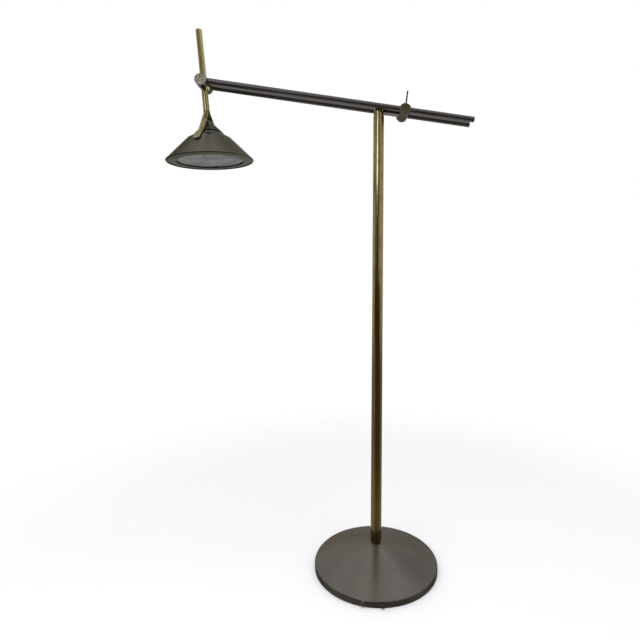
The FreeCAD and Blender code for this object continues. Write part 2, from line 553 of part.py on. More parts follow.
def make_tilt():
    half_w = TONGUE_W / 2
    seat = CLAMP_X - BAR_POCKET
    bar = block((TONGUE_L, seat), (-BAR_W / 2, BAR_W / 2), (-BAR_H / 2, BAR_H / 2))
    long_edges = [e for e in bar.Edges if e.BoundBox.XLength > BAR_ROUND]
    bar = bar.makeFillet(BAR_ROUND, long_edges)
    tongue = rod(TONGUE_R, -half_w, half_w, Y)
    tongue = tongue.fuse(block((0, TONGUE_L + 1), (-half_w, half_w), (-TONGUE_R, TONGUE_R)))
    bar = bar.fuse(tongue).cut(rod(TILT_BOLT_R + FIT, -half_w - 1, half_w + 1, Y))
    screw_tip = seat - BAR_SCREW_GRIP
    on_clamp = vec(0, 0, -CROSS_DROP)
    bar = bar.cut(rod(BAR_SCREW_R + FIT, screw_tip - 1, seat + 1, X, on_clamp)).removeSplitter()
    washers = []
    for side in (-1, 1):
        span = sorted((side * (half_w + FIT), side * (SLOT_W / 2 - FIT)))
        washers.append(tube(TILT_WASHER_R, TILT_BOLT_R + FIT, span[0], span[1], Y))

    near_end = -CLAMP_HALF - SIDE_GAP / 2
    ring_end = near_end - RING_T
    barrel = edged_cylinder(CROSS_R, -CLAMP_HALF, CLAMP_HALF, Y, CLAMP_AXIS)
    barrel = barrel.fuse(rod(RING_BORE_R - FIT, ring_end + FACE_RECESS, -CLAMP_HALF, Y, CLAMP_AXIS))
    pocket = block((CLAMP_X - CROSS_R - 1, seat), (-BAR_W / 2 - FIT, BAR_W / 2 + FIT),
                   (-BAR_H / 2 - FIT, BAR_H / 2 + FIT))
    barrel = barrel.cut(pocket)
    screw_end = CLAMP_X + CROSS_R
    barrel = barrel.cut(rod(BAR_SCREW_R + FIT, seat - 1, screw_end, X, on_clamp))
    sunk = screw_end - BAR_SCREW_HEAD_T - END_GAP
    barrel = barrel.cut(rod(BAR_SCREW_HEAD_R + FIT, sunk, screw_end + 1, X, on_clamp))
    screw = rod(BAR_SCREW_R, screw_tip, sunk, X, on_clamp)
    screw = screw.fuse(rod(BAR_SCREW_HEAD_R, sunk, sunk + BAR_SCREW_HEAD_T, X, on_clamp))
    screw = screw.cut(hexagon(HEX_KEY_R, sunk + BAR_SCREW_HEAD_T / 2, screw_end, X, on_clamp))
    bushes = []
    for side in (-1, 1):
        line = vec(0, side * ROD_Y, 0)
        barrel = barrel.cut(rod(BUSH_R + FIT, CLAMP_X - 2 * CROSS_R, CLAMP_X + 2 * CROSS_R, X, line))
        sleeve = tube(BUSH_R, ROD_R + FIT, CLAMP_X - CROSS_R, CLAMP_X + CROSS_R, X, line)
        bushes.append(sleeve.common(rod(CROSS_R - SIDE_GAP, -CLAMP_HALF, CLAMP_HALF, Y, CLAMP_AXIS)))
    for angle in around(3, 90.0):
        spot = CLAMP_AXIS + face_spot(angle)
        barrel = barrel.cut(rod(FACE_HOLE_R, ring_end, ring_end + FACE_RECESS + FACE_HOLE_DEPTH, Y, spot))

    ring = edged_cylinder(CROSS_R, ring_end, near_end, Y, CLAMP_AXIS)
    ring = ring.cut(rod(RING_BORE_R, ring_end - 1, near_end + 1, Y, CLAMP_AXIS))
    lever_line = CLAMP_AXIS + Y * ((near_end + ring_end) / 2)
    ring = ring.cut(rod(LEVER_R, LEVER_ROOT, CROSS_R + 1, Z, lever_line))
    lever = rod(LEVER_R, LEVER_ROOT, LEVER_TIP, Z, lever_line)
    tip = [e for e in circles(lever) if e.CenterOfMass.z > LEVER_TIP / 2]
    lever = lever.makeFillet(LEVER_ROUND, tip)
    return {"tilt_bar": place(bar, ARM), "tilt_washers": [place(w, ARM) for w in washers],
            "clamp_barrel": place(barrel, ARM), "bar_screw": place(screw, ARM),
            "clamp_bushes": [place(b, ARM) for b in bushes], "clamp_ring": place(ring, ARM),
            "clamp_lever": place(lever, ARM)}


def face_spot(angle):
    """Place of a blind hole on a cross cylinder's end face."""
    turn = math.radians(angle)
    return vec(FACE_HOLE_CIRCLE_R * math.cos(turn), 0, FACE_HOLE_CIRCLE_R * math.sin(turn))


def make_arm():
    parts = {"rod_plugs": [], "head_set_screws": []}
    socket_x = -HEAD_X + BLOCK_SEAT
    for side, word in ((-1, "near"), (1, "far")):
        line = vec(0, side * ROD_Y, 0)
        pipe_end = ROD_TAIL_X - PLUG_FACE_T
        pipe = tube(ROD_R, ROD_R - ROD_WALL, socket_x + FIT, pipe_end, X, line)
        plug = rod(ROD_R, pipe_end, ROD_TAIL_X, X, line)
        plug = plug.fuse(rod(ROD_R - ROD_WALL - FIT, pipe_end - ROD_PLUG_L, pipe_end, X, line))
        span = sorted((side * BLOCK_INNER, side * BLOCK_OUTER))
        cheek = edged_cylinder(CROSS_R, span[0], span[1], Y, HEAD_AXIS)
        cheek = cheek.cut(rod(ROD_R + FIT, socket_x, -HEAD_X + 2 * CROSS_R, X, line))
        cheek = cheek.cut(rod(HEAD_STUD_R + 2 * FIT, span[0] - 1, span[1] + 1, Y, HEAD_AXIS))
        screw_line = vec(-HEAD_X + SET_SCREW_X, side * ROD_Y, -CROSS_DROP)
        screw_low = -math.sqrt(CROSS_R ** 2 - SET_SCREW_X ** 2)
        screw_top = CROSS_DROP - ROD_R - FIT
        cheek = cheek.cut(rod(SET_SCREW_R + FIT, screw_low - CROSS_R, screw_top + 1, Z, screw_line))
        screw = rod(SET_SCREW_R, screw_low + END_GAP, screw_top, Z, screw_line)
        parts[word + "_rod"] = place(pipe, ARM)
        parts[word + "_head_block"] = place(cheek, ARM)
        parts["rod_plugs"].append(place(plug, ARM))
        parts["head_set_screws"].append(place(screw, ARM))
    return parts


def make_head():
    half = HEAD_BARREL_W / 2
    barrel = edged_cylinder(CROSS_R, -half, half, Y)
    barrel = barrel.cut(rod(ROD_BUSH_R + FIT, -CROSS_R - 1, CROSS_R + 1))
    barrel = barrel.cut(rod(HEAD_STUD_R + FIT, -half - 1, half + 1, Y))
    bush = tube(ROD_BUSH_R, LAMP_ROD_R + FIT, -ROD_BUSH_HALF, ROD_BUSH_HALF)

    cap_in = BLOCK_OUTER + SIDE_GAP / 2
    far = edged_cylinder(CROSS_R, cap_in, cap_in + FAR_CAP_T, Y)
    far = far.fuse(rod(HEAD_STUD_R, HEAD_STUD_TIP, cap_in, Y))
    far = far.cut(block((-CROSS_R, CROSS_R), (cap_in + FAR_CAP_T - FACE_RECESS, cap_in + FAR_CAP_T + 1),
                        (-FACE_HOLE_R / 2, FACE_HOLE_R / 2)))

    knob_in = -cap_in
    knob_out = knob_in - RING_T
    ring = edged_cylinder(CROSS_R, knob_out, knob_in, Y)
    ring = ring.cut(rod(RING_BORE_R, knob_out - 1, knob_in + 1, Y))
    core = rod(RING_BORE_R - FIT, knob_out + FACE_RECESS, knob_in, Y)
    core = core.fuse(rod(HEAD_STUD_R, knob_in, -HEAD_STUD_TIP, Y))
    for angle in around(3, 90.0):
        spot = face_spot(angle)
        core = core.cut(rod(FACE_HOLE_R, knob_out, knob_out + FACE_RECESS + FACE_HOLE_DEPTH, Y, spot))
    solids = {"head_barrel": barrel, "rod_bush": bush, "head_far_stud": far,
              "head_knob_ring": ring, "head_knob_core": core}
    return {name: place(solid, LAMP_ROD) for name, solid in solids.items()}


def leg_frame(side):
    """Frame of a fork leg's foot: X across it, Y down the shade, Z out of its face."""
    down = vec(0, side * SHADE_RUN, -SHADE_RISE).normalize()
    out = vec(0, side * SHADE_RISE, SHADE_RUN).normalize()
    across = down.cross(out)
    turn = FreeCAD.Rotation(across, down, out, "XYZ")
    origin = vec(0, side * FORK_SEAT_R, -FORK_SEAT_DROP) + out * LEG_SEAT_GAP
    return FreeCAD.Placement(origin, turn)


def half_round(start, end):
    """A bar along Y of a leg's frame, its flat side on the plane Z = 0."""
    bar = rod(LEG_ROUND_R, start, end, Y, Z * (LEG_T - LEG_ROUND_R))
    return bar.common(block((-LEG_W, LEG_W), (start - 1, end + 1), (0, LEG_T + 1)))


def make_leg(side):
    """A leg, down from the rod's end to the shade and then along it to a flattened foot."""
    foot_frame = leg_frame(side)
    ramp = moved(0, -PAD_FLAT, PAD_T).multiply(turned(X, -PAD_RAMP))
    above = block((-LEG_W, LEG_W), (-LEG_STRAIGHT, LEG_STRAIGHT), (0, LEG_STRAIGHT))
    foot = half_round(-LEG_STRAIGHT, 0).cut(place(above, ramp))
    half = LEG_W / 2
    wide = PAD_W / 2
    corners = [vec(wide, 0, 0), vec(half, -PAD_L, 0), vec(-half, -PAD_L, 0), vec(-wide, 0, 0)]
    edges = [Part.makeLine(corners[i], corners[i + 1]) for i in range(3)]
    edges.append(Part.Arc(corners[3], vec(0, wide, 0), corners[0]).toShape())
    pad = Part.Face(Part.Wire(edges)).extrude(Z * PAD_T)

    root = vec(0, 0, -LAMP_ROD_DOWN - LEG_ROOT)
    bend = foot_frame.multVec(vec(0, -LEG_STRAIGHT, 0))
    length = root.distanceToPoint(bend)
    down = (bend - root).normalize()
    across = foot_frame.Rotation.multVec(X)
    steep_frame = FreeCAD.Placement(root, FreeCAD.Rotation(across, down, across.cross(down), "XYZ"))
    steep = half_round(0, length)
    return place(steep, steep_frame).fuse(place(foot.fuse(pad), foot_frame))


def make_fork():
    inner_r = LAMP_ROD_R - LAMP_ROD_WALL
    cap_foot = LAMP_ROD_UP - ROD_CAP_H
    upright = tube(LAMP_ROD_R, inner_r, -LAMP_ROD_DOWN, cap_foot)
    cap = rod(LAMP_ROD_R, cap_foot, LAMP_ROD_UP)
    top_rim = [e for e in circles(cap) if e.CenterOfMass.z > LAMP_ROD_UP - ROD_CAP_H / 2]
    cap = cap.makeFillet(ROD_CAP_ROUND, top_rim)
    cap = cap.fuse(rod(inner_r - FIT, cap_foot - ROD_CAP_PLUG_L, cap_foot))

    hub_foot = -LAMP_ROD_DOWN - FORK_HUB_H
    fork = rod(FORK_HUB_R, hub_foot, -LAMP_ROD_DOWN)
    screws = []
    for side in (-1, 1):
        frame = leg_frame(side)
        inside = -SHADE_T - LEG_SEAT_GAP - SIDE_GAP
        screw = rod(FORK_SCREW_R, inside, FORK_SCREW_GRIP).fuse(
            rod(FORK_SCREW_HEAD_R, inside - FORK_SCREW_HEAD_T, inside))
        screws.append(place(screw, frame))
        hole = rod(FORK_SCREW_R + FIT, -1, FORK_SCREW_GRIP + FIT)
        fork = fork.fuse(make_leg(side).cut(place(hole, frame)))
    trim = rod(LEG_W, -LAMP_ROD_DOWN, 0)
    fork = fork.cut(trim).fuse(rod(inner_r - FIT, -LAMP_ROD_DOWN, -LAMP_ROD_DOWN + FORK_SPIGOT_L))
    fork = fork.cut(rod(FORK_BORE_R, hub_foot - 1, 0)).removeSplitter()
    return {"upright_rod": place(upright, LAMP_ROD), "rod_cap": place(cap, LAMP_ROD),
            "fork": place(fork, FORK), "fork_screws": [place(s, FORK) for s in screws]}


def make_shade():
    rim_mid = math.sqrt(0.5)
    arc_mid = vec(SHADE_MOUTH_R + SHADE_EDGE_H * rim_mid, 0, SHADE_EDGE_H * (1 - rim_mid))
    inner_edge = (SHADE_R - SHADE_WALL, SHADE_EDGE_H)
    corners = [(SHADE_R, SHADE_EDGE_H), (SHOULDER_R, SHOULDER_H), (COLLAR_R, COLLAR_H), (VENT_R, VENT_H),
               (VENT_R - SHADE_WALL, VENT_H), (COLLAR_R - SHADE_WALL, COLLAR_H),
               (SHOULDER_R - SHADE_WALL, SHOULDER_H), inner_edge, (SHADE_MOUTH_R, LIP_T),
               (SHADE_LIP_R, LIP_T), (SHADE_LIP_R, 0), (SHADE_MOUTH_R, 0)]
    points = [vec(r, 0, h) for r, h in corners]
    edges = [Part.makeLine(points[i], points[i + 1]) for i in range(len(points) - 1)]
    edges.append(Part.Arc(points[-1], arc_mid, points[0]).toShape())
    shell = Part.Face(Part.Wire(edges)).revolve(vec(0, 0, 0), Z, 360)
    screw_holes = []
    for side in (-1, 1):
        hole = place(rod(FORK_SCREW_R + 2 * FIT, -FORK_SCREW_HEAD_T - 1, 2), leg_frame(side))
        screw_holes.append(place(hole, SHADE.inverse().multiply(FORK)))
    shell = shell.cut(Part.makeCompound(screw_holes))

    nip = SHADE_NIPPLE_R + FIT
    neck_r = CAP_R - CAP_SKIRT_IN
    cap = turned_solid([(CAP_R, CAP_LOW), (neck_r, CAP_NECK_H), (CAP_TOP_R, CAP_TOP_H),
                        (nip, CAP_TOP_H), (nip, CAP_TOP_H - CAP_T), (CAP_TOP_R - CAP_T, CAP_TOP_H - CAP_T),
                        (neck_r - CAP_WALL, CAP_NECK_H), (CAP_R - CAP_WALL, CAP_LOW)])
    nipple_low = HOLDER_TOP - HOLDER_SOCKET
    nipple = tube(SHADE_NIPPLE_R, SHADE_NIPPLE_BORE_R, nipple_low, CAP_TOP_H + CAP_NUT_H)
    cap_nut = tube(CAP_NUT_R, nip, CAP_TOP_H, CAP_TOP_H + CAP_NUT_H)
    carrier_nut = hex_nut(CARRIER_NUT_R, nip, CARRIER_H - CARRIER_NUT_H, CARRIER_H)
    carrier_r = COLLAR_R - SHADE_WALL + CARRIER_DROP * COLLAR_IN / COLLAR_UP
    carrier = tube(carrier_r - 2 * FIT, nip, CARRIER_H, CARRIER_H + CARRIER_T)
    sleeve = tube(nip + SLEEVE_WALL, nip, CARRIER_H + CARRIER_T, CAP_TOP_H - CAP_T)

    holder = rod(HOLDER_R, HOLDER_BOTTOM, HOLDER_TOP)
    holder = holder.fuse(rod(HOLDER_FLANGE_R, HOLDER_SEAT, HOLDER_SEAT + HOLDER_FLANGE_T))
    holder = holder.cut(rod(nip, nipple_low, HOLDER_TOP + 1))
    pins = []
    for side in (-1, 1):
        line = vec(side * PIN_PITCH / 2, 0, 0)
        pins.append(rod(PIN_R, BULB_TOP - PIN_ROOT, HOLDER_BOTTOM + PIN_GRIP, Z, line))
        holder = holder.cut(rod(PIN_R + FIT, HOLDER_BOTTOM - 1, HOLDER_BOTTOM + PIN_GRIP, Z, line))
    bulb = rod(BULB_R, BULB_LOW, BULB_TOP)
    bulb_end = [e for e in circles(bulb) if e.CenterOfMass.z < (BULB_LOW + BULB_TOP) / 2]
    bulb = bulb.makeFillet(BULB_ROUND, bulb_end)
    for pin in pins:
        bulb = bulb.cut(pin)
    reflector = make_reflector()

    bezel = tube(SHADE_MOUTH_R - SIDE_GAP, BEZEL_BORE_R, LIP_T + FIT, LIP_T + BEZEL_T)
    glass = rod(GLASS_R, GLASS_UNDER, GLASS_TOP)
    clip_low = LIP_T + BEZEL_T + FLAT_GAP / 2
    clips = []
    for angle in around(GLASS_CLIP_COUNT, GLASS_CLIP_TURN):
        clip = block((GLASS_R - GLASS_CLIP_GRIP, BEZEL_BORE_R + GLASS_CLIP_FOOT),
                     (-GLASS_CLIP_W / 2, GLASS_CLIP_W / 2), (clip_low, clip_low + GLASS_CLIP_T))
        clips.append(place(clip, turned(Z, angle)))
    solids = {"shade_shell": shell, "vent_cap": cap, "shade_nipple": nipple, "shade_sleeve": sleeve,
              "holder_carrier": carrier, "lamp_holder": holder, "reflector": reflector,
              "halogen_bulb": bulb, "bezel_ring": bezel, "glass_disc": glass}
    parts = {name: place(solid, SHADE) for name, solid in solids.items()}
    groups = {"shade_nuts": [cap_nut, carrier_nut], "bulb_pins": pins, "glass_clips": clips}
    for name, solids_in_group in groups.items():
        parts[name] = [place(solid, SHADE) for solid in solids_in_group]
    return parts


def make_reflector():
    """A spun bowl: flat neck, then a parabola opening downwards."""
    depth = REFLECTOR_TOP - GLASS_TOP - REFLECTOR_LIFT
    flat_r = HOLDER_FLANGE_R + REFLECTOR_NECK_OUT
    focus = ((GLASS_R - REFLECTOR_IN) ** 2 - flat_r ** 2) / depth
    heights = [REFLECTOR_TOP - depth * (i / REFLECTOR_STEPS) ** 2 for i in range(REFLECTOR_STEPS + 1)]
    radii = [math.sqrt(flat_r ** 2 + focus * (REFLECTOR_TOP - h)) for h in heights]
    inner = list(zip(radii, heights))
    outer = [(r + REFLECTOR_T, h + REFLECTOR_T) for r, h in inner]
    neck_r = HOLDER_R + FIT
    outline = [(neck_r, REFLECTOR_TOP)] + inner + outer[::-1] + [(neck_r, REFLECTOR_TOP + REFLECTOR_T)]
    return turned_solid(outline)


def save(name, solids):
    """Writes one node; a list becomes one group of separate solids."""
    shape = Part.makeCompound(solids) if isinstance(solids, list) else solids
    for solid in shape.Solids:
        if not solid.isValid() or solid.Volume <= 0:
            print("check this solid:", name)
    expected = len(solids) if isinstance(solids, list) else 1
    if len(shape.Solids) != expected:
        print("check the number of solids:", name, len(shape.Solids))
    if not isinstance(solids, list):
        shape = shape.Solids[0]
    shape.exportStep("parts/" + name + ".step")


def main():
    os.makedirs("parts", exist_ok=True)
    nodes = {}
    for make in (make_base, make_transformer, make_switch, make_stem, make_swivel, make_tilt,
                 make_arm, make_head, make_fork, make_shade):
        nodes.update(make())
    for name, solids in nodes.items():
        save(name, solids)
    print(len(nodes), "nodes; head axis at", LAMP_ROD.Base, "shade mouth at", SHADE.Base)


main()
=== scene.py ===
# %% [markdown]
# # A bridge floor lamp, dressed in brass, nickel and glass
# The shapes of this lamp were drawn as solids first, and this script gives them
# their looks. Nearly all of it is metal, and metal has hardly any colour of its
# own: what is seen is the room, bent round each tube and cone. So half of this
# lesson is about the finishes, and half about a studio that is worth reflecting.

# %% Load the lamp
import math

import bpy
import numpy as np
from mathutils import Matrix, Vector

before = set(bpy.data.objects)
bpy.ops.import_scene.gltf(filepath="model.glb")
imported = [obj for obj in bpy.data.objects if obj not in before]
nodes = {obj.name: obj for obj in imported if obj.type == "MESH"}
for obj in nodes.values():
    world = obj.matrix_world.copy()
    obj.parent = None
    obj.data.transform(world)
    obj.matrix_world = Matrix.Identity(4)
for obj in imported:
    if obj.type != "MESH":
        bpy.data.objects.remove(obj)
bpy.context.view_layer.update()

# %% [markdown]
# ## The camera
# A photograph fixes the place of its camera: the ellipse of the base, the lean of
# the arm and the height of the shade agree on only one point of view. The lens and
# the shift are worked out from the focal length and the centre of the picture, both
# measured in its pixels. An upright picture could be had by turning the camera, but
# that would make the stem lean, so the shift moves the picture instead.

# %% Place the camera
PICTURE = 640
FOCAL_PX = 475.15
CENTRE_PX = (349.82, 254.10)
CAMERA_AT = Vector((-0.10106, -1.07560, 0.66971))
YAW, PITCH, ROLL = -0.03493, -0.02292, -0.00781
SENSOR = 36.0

ahead = Vector((-math.sin(YAW) * math.cos(PITCH), math.cos(YAW) * math.cos(PITCH), -math.sin(PITCH)))
level_right = Vector((math.cos(YAW), math.sin(YAW), 0.0))
level_down = ahead.cross(level_right)
right = math.cos(ROLL) * level_right + math.sin(ROLL) * level_down
down = -math.sin(ROLL) * level_right + math.cos(ROLL) * level_down

lens = bpy.data.cameras.new("camera")
lens.sensor_width = SENSOR
lens.lens = FOCAL_PX / PICTURE * SENSOR
lens.shift_x = (PICTURE / 2 - CENTRE_PX[0]) / PICTURE
lens.shift_y = (CENTRE_PX[1] - PICTURE / 2) / PICTURE
camera = bpy.data.objects.new("camera", lens)
camera.matrix_world = Matrix.Translation(CAMERA_AT) @ Matrix((right, -down, -ahead)).transposed().to_4x4()
scene = bpy.context.scene
scene.collection.objects.link(camera)
scene.camera = camera
scene.view_settings.view_transform = "Standard"
print("lens", round(lens.lens, 2), "mm, shift", round(lens.shift_x, 4), round(lens.shift_y, 4))


# %% [markdown]
# ## Surfaces from numbers
# Every new surface here is a sheet with two parameters, u across and v along it.
# The points are worked out as whole arrays, and one helper turns a grid of points
# into a mesh of four-sided faces. A sheet may close on itself across.

# %% A grid of points becomes a mesh
def grid_mesh(name, points, close_u=False):
    """points has shape (rows v, columns u, 3). Face (i, j) joins the points (i, j), (i, j+1),
    (i+1, j+1) and (i+1, j), and a closed sheet joins the last point of each row to its first."""
    rows, columns = points.shape[:2]
    i = np.arange(rows - 1)
    j = np.arange(columns if close_u else columns - 1)
    i, j = (a.ravel() for a in np.meshgrid(i, j, indexing="ij"))
    j_next = (j + 1) % columns
    this_row, next_row = i * columns, (i + 1) * columns
    faces = np.stack([this_row + j, this_row + j_next, next_row + j_next, next_row + j], 1)
    mesh = bpy.data.meshes.new(name)
    mesh.from_pydata(points.reshape(-1, 3).tolist(), [], faces.tolist())
    mesh.polygons.foreach_set("use_smooth", np.ones(len(faces), dtype=bool))
    mesh.update()
    return mesh


def smoothstep(low, high, x):
    """0 below low, 1 above high, and 3t^2 - 2t^3 between, where t runs from 0 to 1."""
    t = np.clip((x - low) / (high - low), 0.0, 1.0)
    return t * t * (3.0 - 2.0 * t)


def blend_values(a, b, share):
    """a where share is 0, b where it is 1."""
    return a + (b - a) * share


print("mesh helpers", [helper.__name__ for helper in (grid_mesh, smoothstep, blend_values)])


# %% [markdown]
# ## Small helpers for materials
# A material is a little network. These helpers add a box to a network and wire it
# up in one line, so that each finish below reads like a recipe.

# %% Boxes and wires
MIX_FIRST, MIX_SECOND, MIX_RESULT = 6, 7, 2  # the colour sockets of a Mix node


def put(tree, kind, plugs=None, **settings):
    """A new box of that kind. plugs gives each input a wire or a plain value, by name or number."""
    box = tree.nodes.new(kind)
    for key, value in settings.items():
        setattr(box, key, value)
    for key, value in (plugs or {}).items():
        socket = box.inputs[key]
        if isinstance(value, bpy.types.NodeSocket):
            tree.links.new(value, socket)
        else:
            socket.default_value = value
    return box


def calc(tree, operation, a, b=0.0, clamp=False):
    """One sum on one or two numbers that change over the surface."""
    return put(tree, "ShaderNodeMath", {0: a, 1: b}, operation=operation, use_clamp=clamp).outputs[0]


def spread(tree, value, low, high, to_low=0.0, to_high=1.0):
    """Takes the range low to high to another range, smoothly, and holds it there."""
    plugs = {"Value": value, "From Min": low, "From Max": high, "To Min": to_low, "To Max": to_high}
    return put(tree, "ShaderNodeMapRange", plugs, interpolation_type="SMOOTHSTEP").outputs["Result"]


def noise(tree, vector, scale, detail=2.0, roughness=0.5):
    """Soft noise from 0 to 1. scale is how many lumps fit in a metre, and detail how many finer
    layers lie on it."""
    box = put(tree, "ShaderNodeTexNoise", {"Vector": vector, "Scale": scale, "Detail": detail,
                                           "Roughness": roughness})
    return box.outputs["Fac"]


def tint(tree, share, first, second):
    """first where share is 0, second where it is 1. Either may be a wire or a plain colour."""
    box = put(tree, "ShaderNodeMix", {0: share}, data_type="RGBA")
    for socket, value in ((box.inputs[MIX_FIRST], first), (box.inputs[MIX_SECOND], second)):
        if isinstance(value, bpy.types.NodeSocket):
            tree.links.new(value, socket)
        else:
            socket.default_value = (*value, 1.0)
    return box.outputs[MIX_RESULT]


def new_group(name, inputs, outputs):
    """A node group. inputs are (name, kind, value) and outputs (name, kind)."""
    tree = bpy.data.node_groups.new(name, "ShaderNodeTree")
    for label, kind, value in inputs:
        socket = tree.interface.new_socket(label, in_out="INPUT", socket_type=kind)
        if value is not None:
            socket.default_value = value
    for label, kind in outputs:
        tree.interface.new_socket(label, in_out="OUTPUT", socket_type=kind)
    return tree, tree.nodes.new("NodeGroupInput").outputs, tree.nodes.new("NodeGroupOutput").inputs


def effect(tree, group, **plugs):
    """Places a node group in a material, with its own values, and returns its outputs."""
    box = tree.nodes.new("ShaderNodeGroup")
    box.node_tree = group
    for key, value in plugs.items():
        socket = box.inputs[key.replace("_", " ")]
        if isinstance(value, bpy.types.NodeSocket):
            tree.links.new(value, socket)
        else:
            socket.default_value = value
    return box.outputs


print("node helpers", [helper.__name__ for helper in (put, calc, spread, noise, tint, new_group, effect)])

# %% [markdown]
# ## Short words for common steps
# A few sums and mixes come up in every finish. With a short word for each of them a
# recipe stays readable, and a change to one of them reaches all the finishes.

# %% Short words for common steps
FLOAT, VECTOR = "NodeSocketFloat", "NodeSocketVector"
NOISE_LOW, NOISE_HIGH = 0.3, 0.7  # soft noise seldom leaves this range


def add(tree, a, b):
    """a + b"""
    return calc(tree, "ADD", a, b)


def times(tree, a, b):
    """a x b"""
    return calc(tree, "MULTIPLY", a, b)


def split(tree, vector):
    """The x, y and z of a vector, or the three parts of a colour."""
    return put(tree, "ShaderNodeSeparateXYZ", {0: vector}).outputs


def join(tree, x, y=0.0, z=0.0):
    """A vector from x, y and z."""
    return put(tree, "ShaderNodeCombineXYZ", {0: x, 1: y, 2: z}).outputs[0]


def from_axis(tree, x, y):
    """The distance from the Z axis: the root of x^2 + y^2."""
    return calc(tree, "SQRT", add(tree, times(tree, x, x), times(tree, y, y)))


def stretch(tree, value, to_low=0.0, to_high=1.0):
    """Takes the usual range of a noise to another one."""
    return spread(tree, value, NOISE_LOW, NOISE_HIGH, to_low, to_high)


def lay_over(tree, below, above, mask, share):
    """Lays one colour over another where the mask is 1, and there only that share of it."""
    return tint(tree, times(tree, mask, share), below, above)


def roughen(tree, clean, *marks):
    """Adds marks to a roughness. Each mark is a mask and what it adds where it is 1."""
    parts = [times(tree, mask, most) for mask, most in marks]
    extra = parts[0]
    for part in parts[1:]:
        extra = add(tree, extra, part)
    return add(tree, clean, extra)


words = (add, times, split, join, from_axis, stretch, lay_over, roughen)
print("short words", [word.__name__ for word in words])


# %% [markdown]
# ## Marks that tools and hands leave
# A drawn tube has faint lines along it, a spun or turned part has rings round its
# axis, and every lacquered part that hands touch has smudges. Each of these effects
# is a node group, built once, with its size as an input, so that the same scratch
# isn't drawn by hand in a dozen materials. They put out plain masks from 0 to 1.
# The group with the rings also puts out soft wedges round the axis: these are painted sheen, not marks.

# %% Lines along a tube
drawn_lines, take, give = new_group(
    "drawn lines", [("Vector", VECTOR, None), ("Across", FLOAT, 900.0), ("Along", FLOAT, 6.0)],
    [("Lines", FLOAT)])
x, y, z = split(drawn_lines, take["Vector"])
stretched = join(drawn_lines, times(drawn_lines, x, take["Across"]), times(drawn_lines, y, take["Across"]),
                 times(drawn_lines, z, take["Along"]))
drawn_lines.links.new(noise(drawn_lines, stretched, 1.0, detail=3.0, roughness=0.6), give["Lines"])
print(drawn_lines.name, "has", len(drawn_lines.nodes), "nodes")

# %% Rings round an axis, and wedges of painted sheen
ON_AXIS = 0.0005  # metres: nearer the axis than this, a direction has no meaning
PAINTED_WEDGES_ROUND, PAINTED_WEDGES_ALONG = 2.6, 4.0

rings_and_painted_wedges, take, give = new_group(
    "rings and painted wedges", [("Vector", VECTOR, None), ("Fineness", FLOAT, 900.0), ("Drift", FLOAT, 1.5)],
    [("Rings", FLOAT), ("Painted Wedges", FLOAT)])
x, y, z = split(rings_and_painted_wedges, take["Vector"])
reach = from_axis(rings_and_painted_wedges, x, y)
held_off = calc(rings_and_painted_wedges, "MAXIMUM", reach, ON_AXIS)
turn_x = calc(rings_and_painted_wedges, "DIVIDE", x, held_off)
turn_y = calc(rings_and_painted_wedges, "DIVIDE", y, held_off)
path_length = calc(rings_and_painted_wedges, "SUBTRACT", reach, z)
wound = join(rings_and_painted_wedges, times(rings_and_painted_wedges, path_length, take["Fineness"]),
             times(rings_and_painted_wedges, turn_x, take["Drift"]), times(rings_and_painted_wedges, turn_y, take["Drift"]))
rings_and_painted_wedges.links.new(noise(rings_and_painted_wedges, wound, 1.0, detail=3.0, roughness=0.65), give["Rings"])
# The second mask is painted sheen: soft lighter and darker wedges round the axis that stand in for the wedges
# of light a spun surface shows.
fanned = join(rings_and_painted_wedges, times(rings_and_painted_wedges, path_length, PAINTED_WEDGES_ALONG), turn_x, turn_y)
rings_and_painted_wedges.links.new(noise(rings_and_painted_wedges, fanned, PAINTED_WEDGES_ROUND, detail=3.0, roughness=0.55), give["Painted Wedges"])
print(rings_and_painted_wedges.name, "has", len(rings_and_painted_wedges.nodes), "nodes")

# %% Smudges and specks
SMUDGE_FROM, SMUDGE_TO = 0.42, 0.68
SPECKS_PER_METRE = 1400.0
SPECK_CORE, SPECK_RIM = 0.08, 0.20  # in widths of a Voronoi cell
CHOSEN_FROM, CHOSEN_TO = 0.93, 0.95  # about one cell in sixteen gets its speck

handling, take, give = new_group("handling marks", [("Vector", VECTOR, None), ("Size", FLOAT, 40.0)],
                                 [("Smudges", FLOAT), ("Specks", FLOAT)])
patches = noise(handling, take["Vector"], take["Size"])
handling.links.new(spread(handling, patches, SMUDGE_FROM, SMUDGE_TO), give["Smudges"])
dots = put(handling, "ShaderNodeTexVoronoi", {"Vector": take["Vector"], "Scale": SPECKS_PER_METRE,
                                              "Randomness": 1.0}).outputs
near_dot = spread(handling, dots["Distance"], SPECK_CORE, SPECK_RIM, 1.0, 0.0)
chosen = spread(handling, split(handling, dots["Color"])[0], CHOSEN_FROM, CHOSEN_TO)
handling.links.new(times(handling, near_dot, chosen), give["Specks"])
print(handling.name, "has", len(handling.nodes), "nodes")

# %% Dust on whatever faces up
LIES_FROM, LIES_TO = 0.25, 0.95  # the upward part of the surface's direction
FLUFF_PER_METRE, FLUFF_FROM, FLUFF_TO = 260.0, 0.35, 0.75

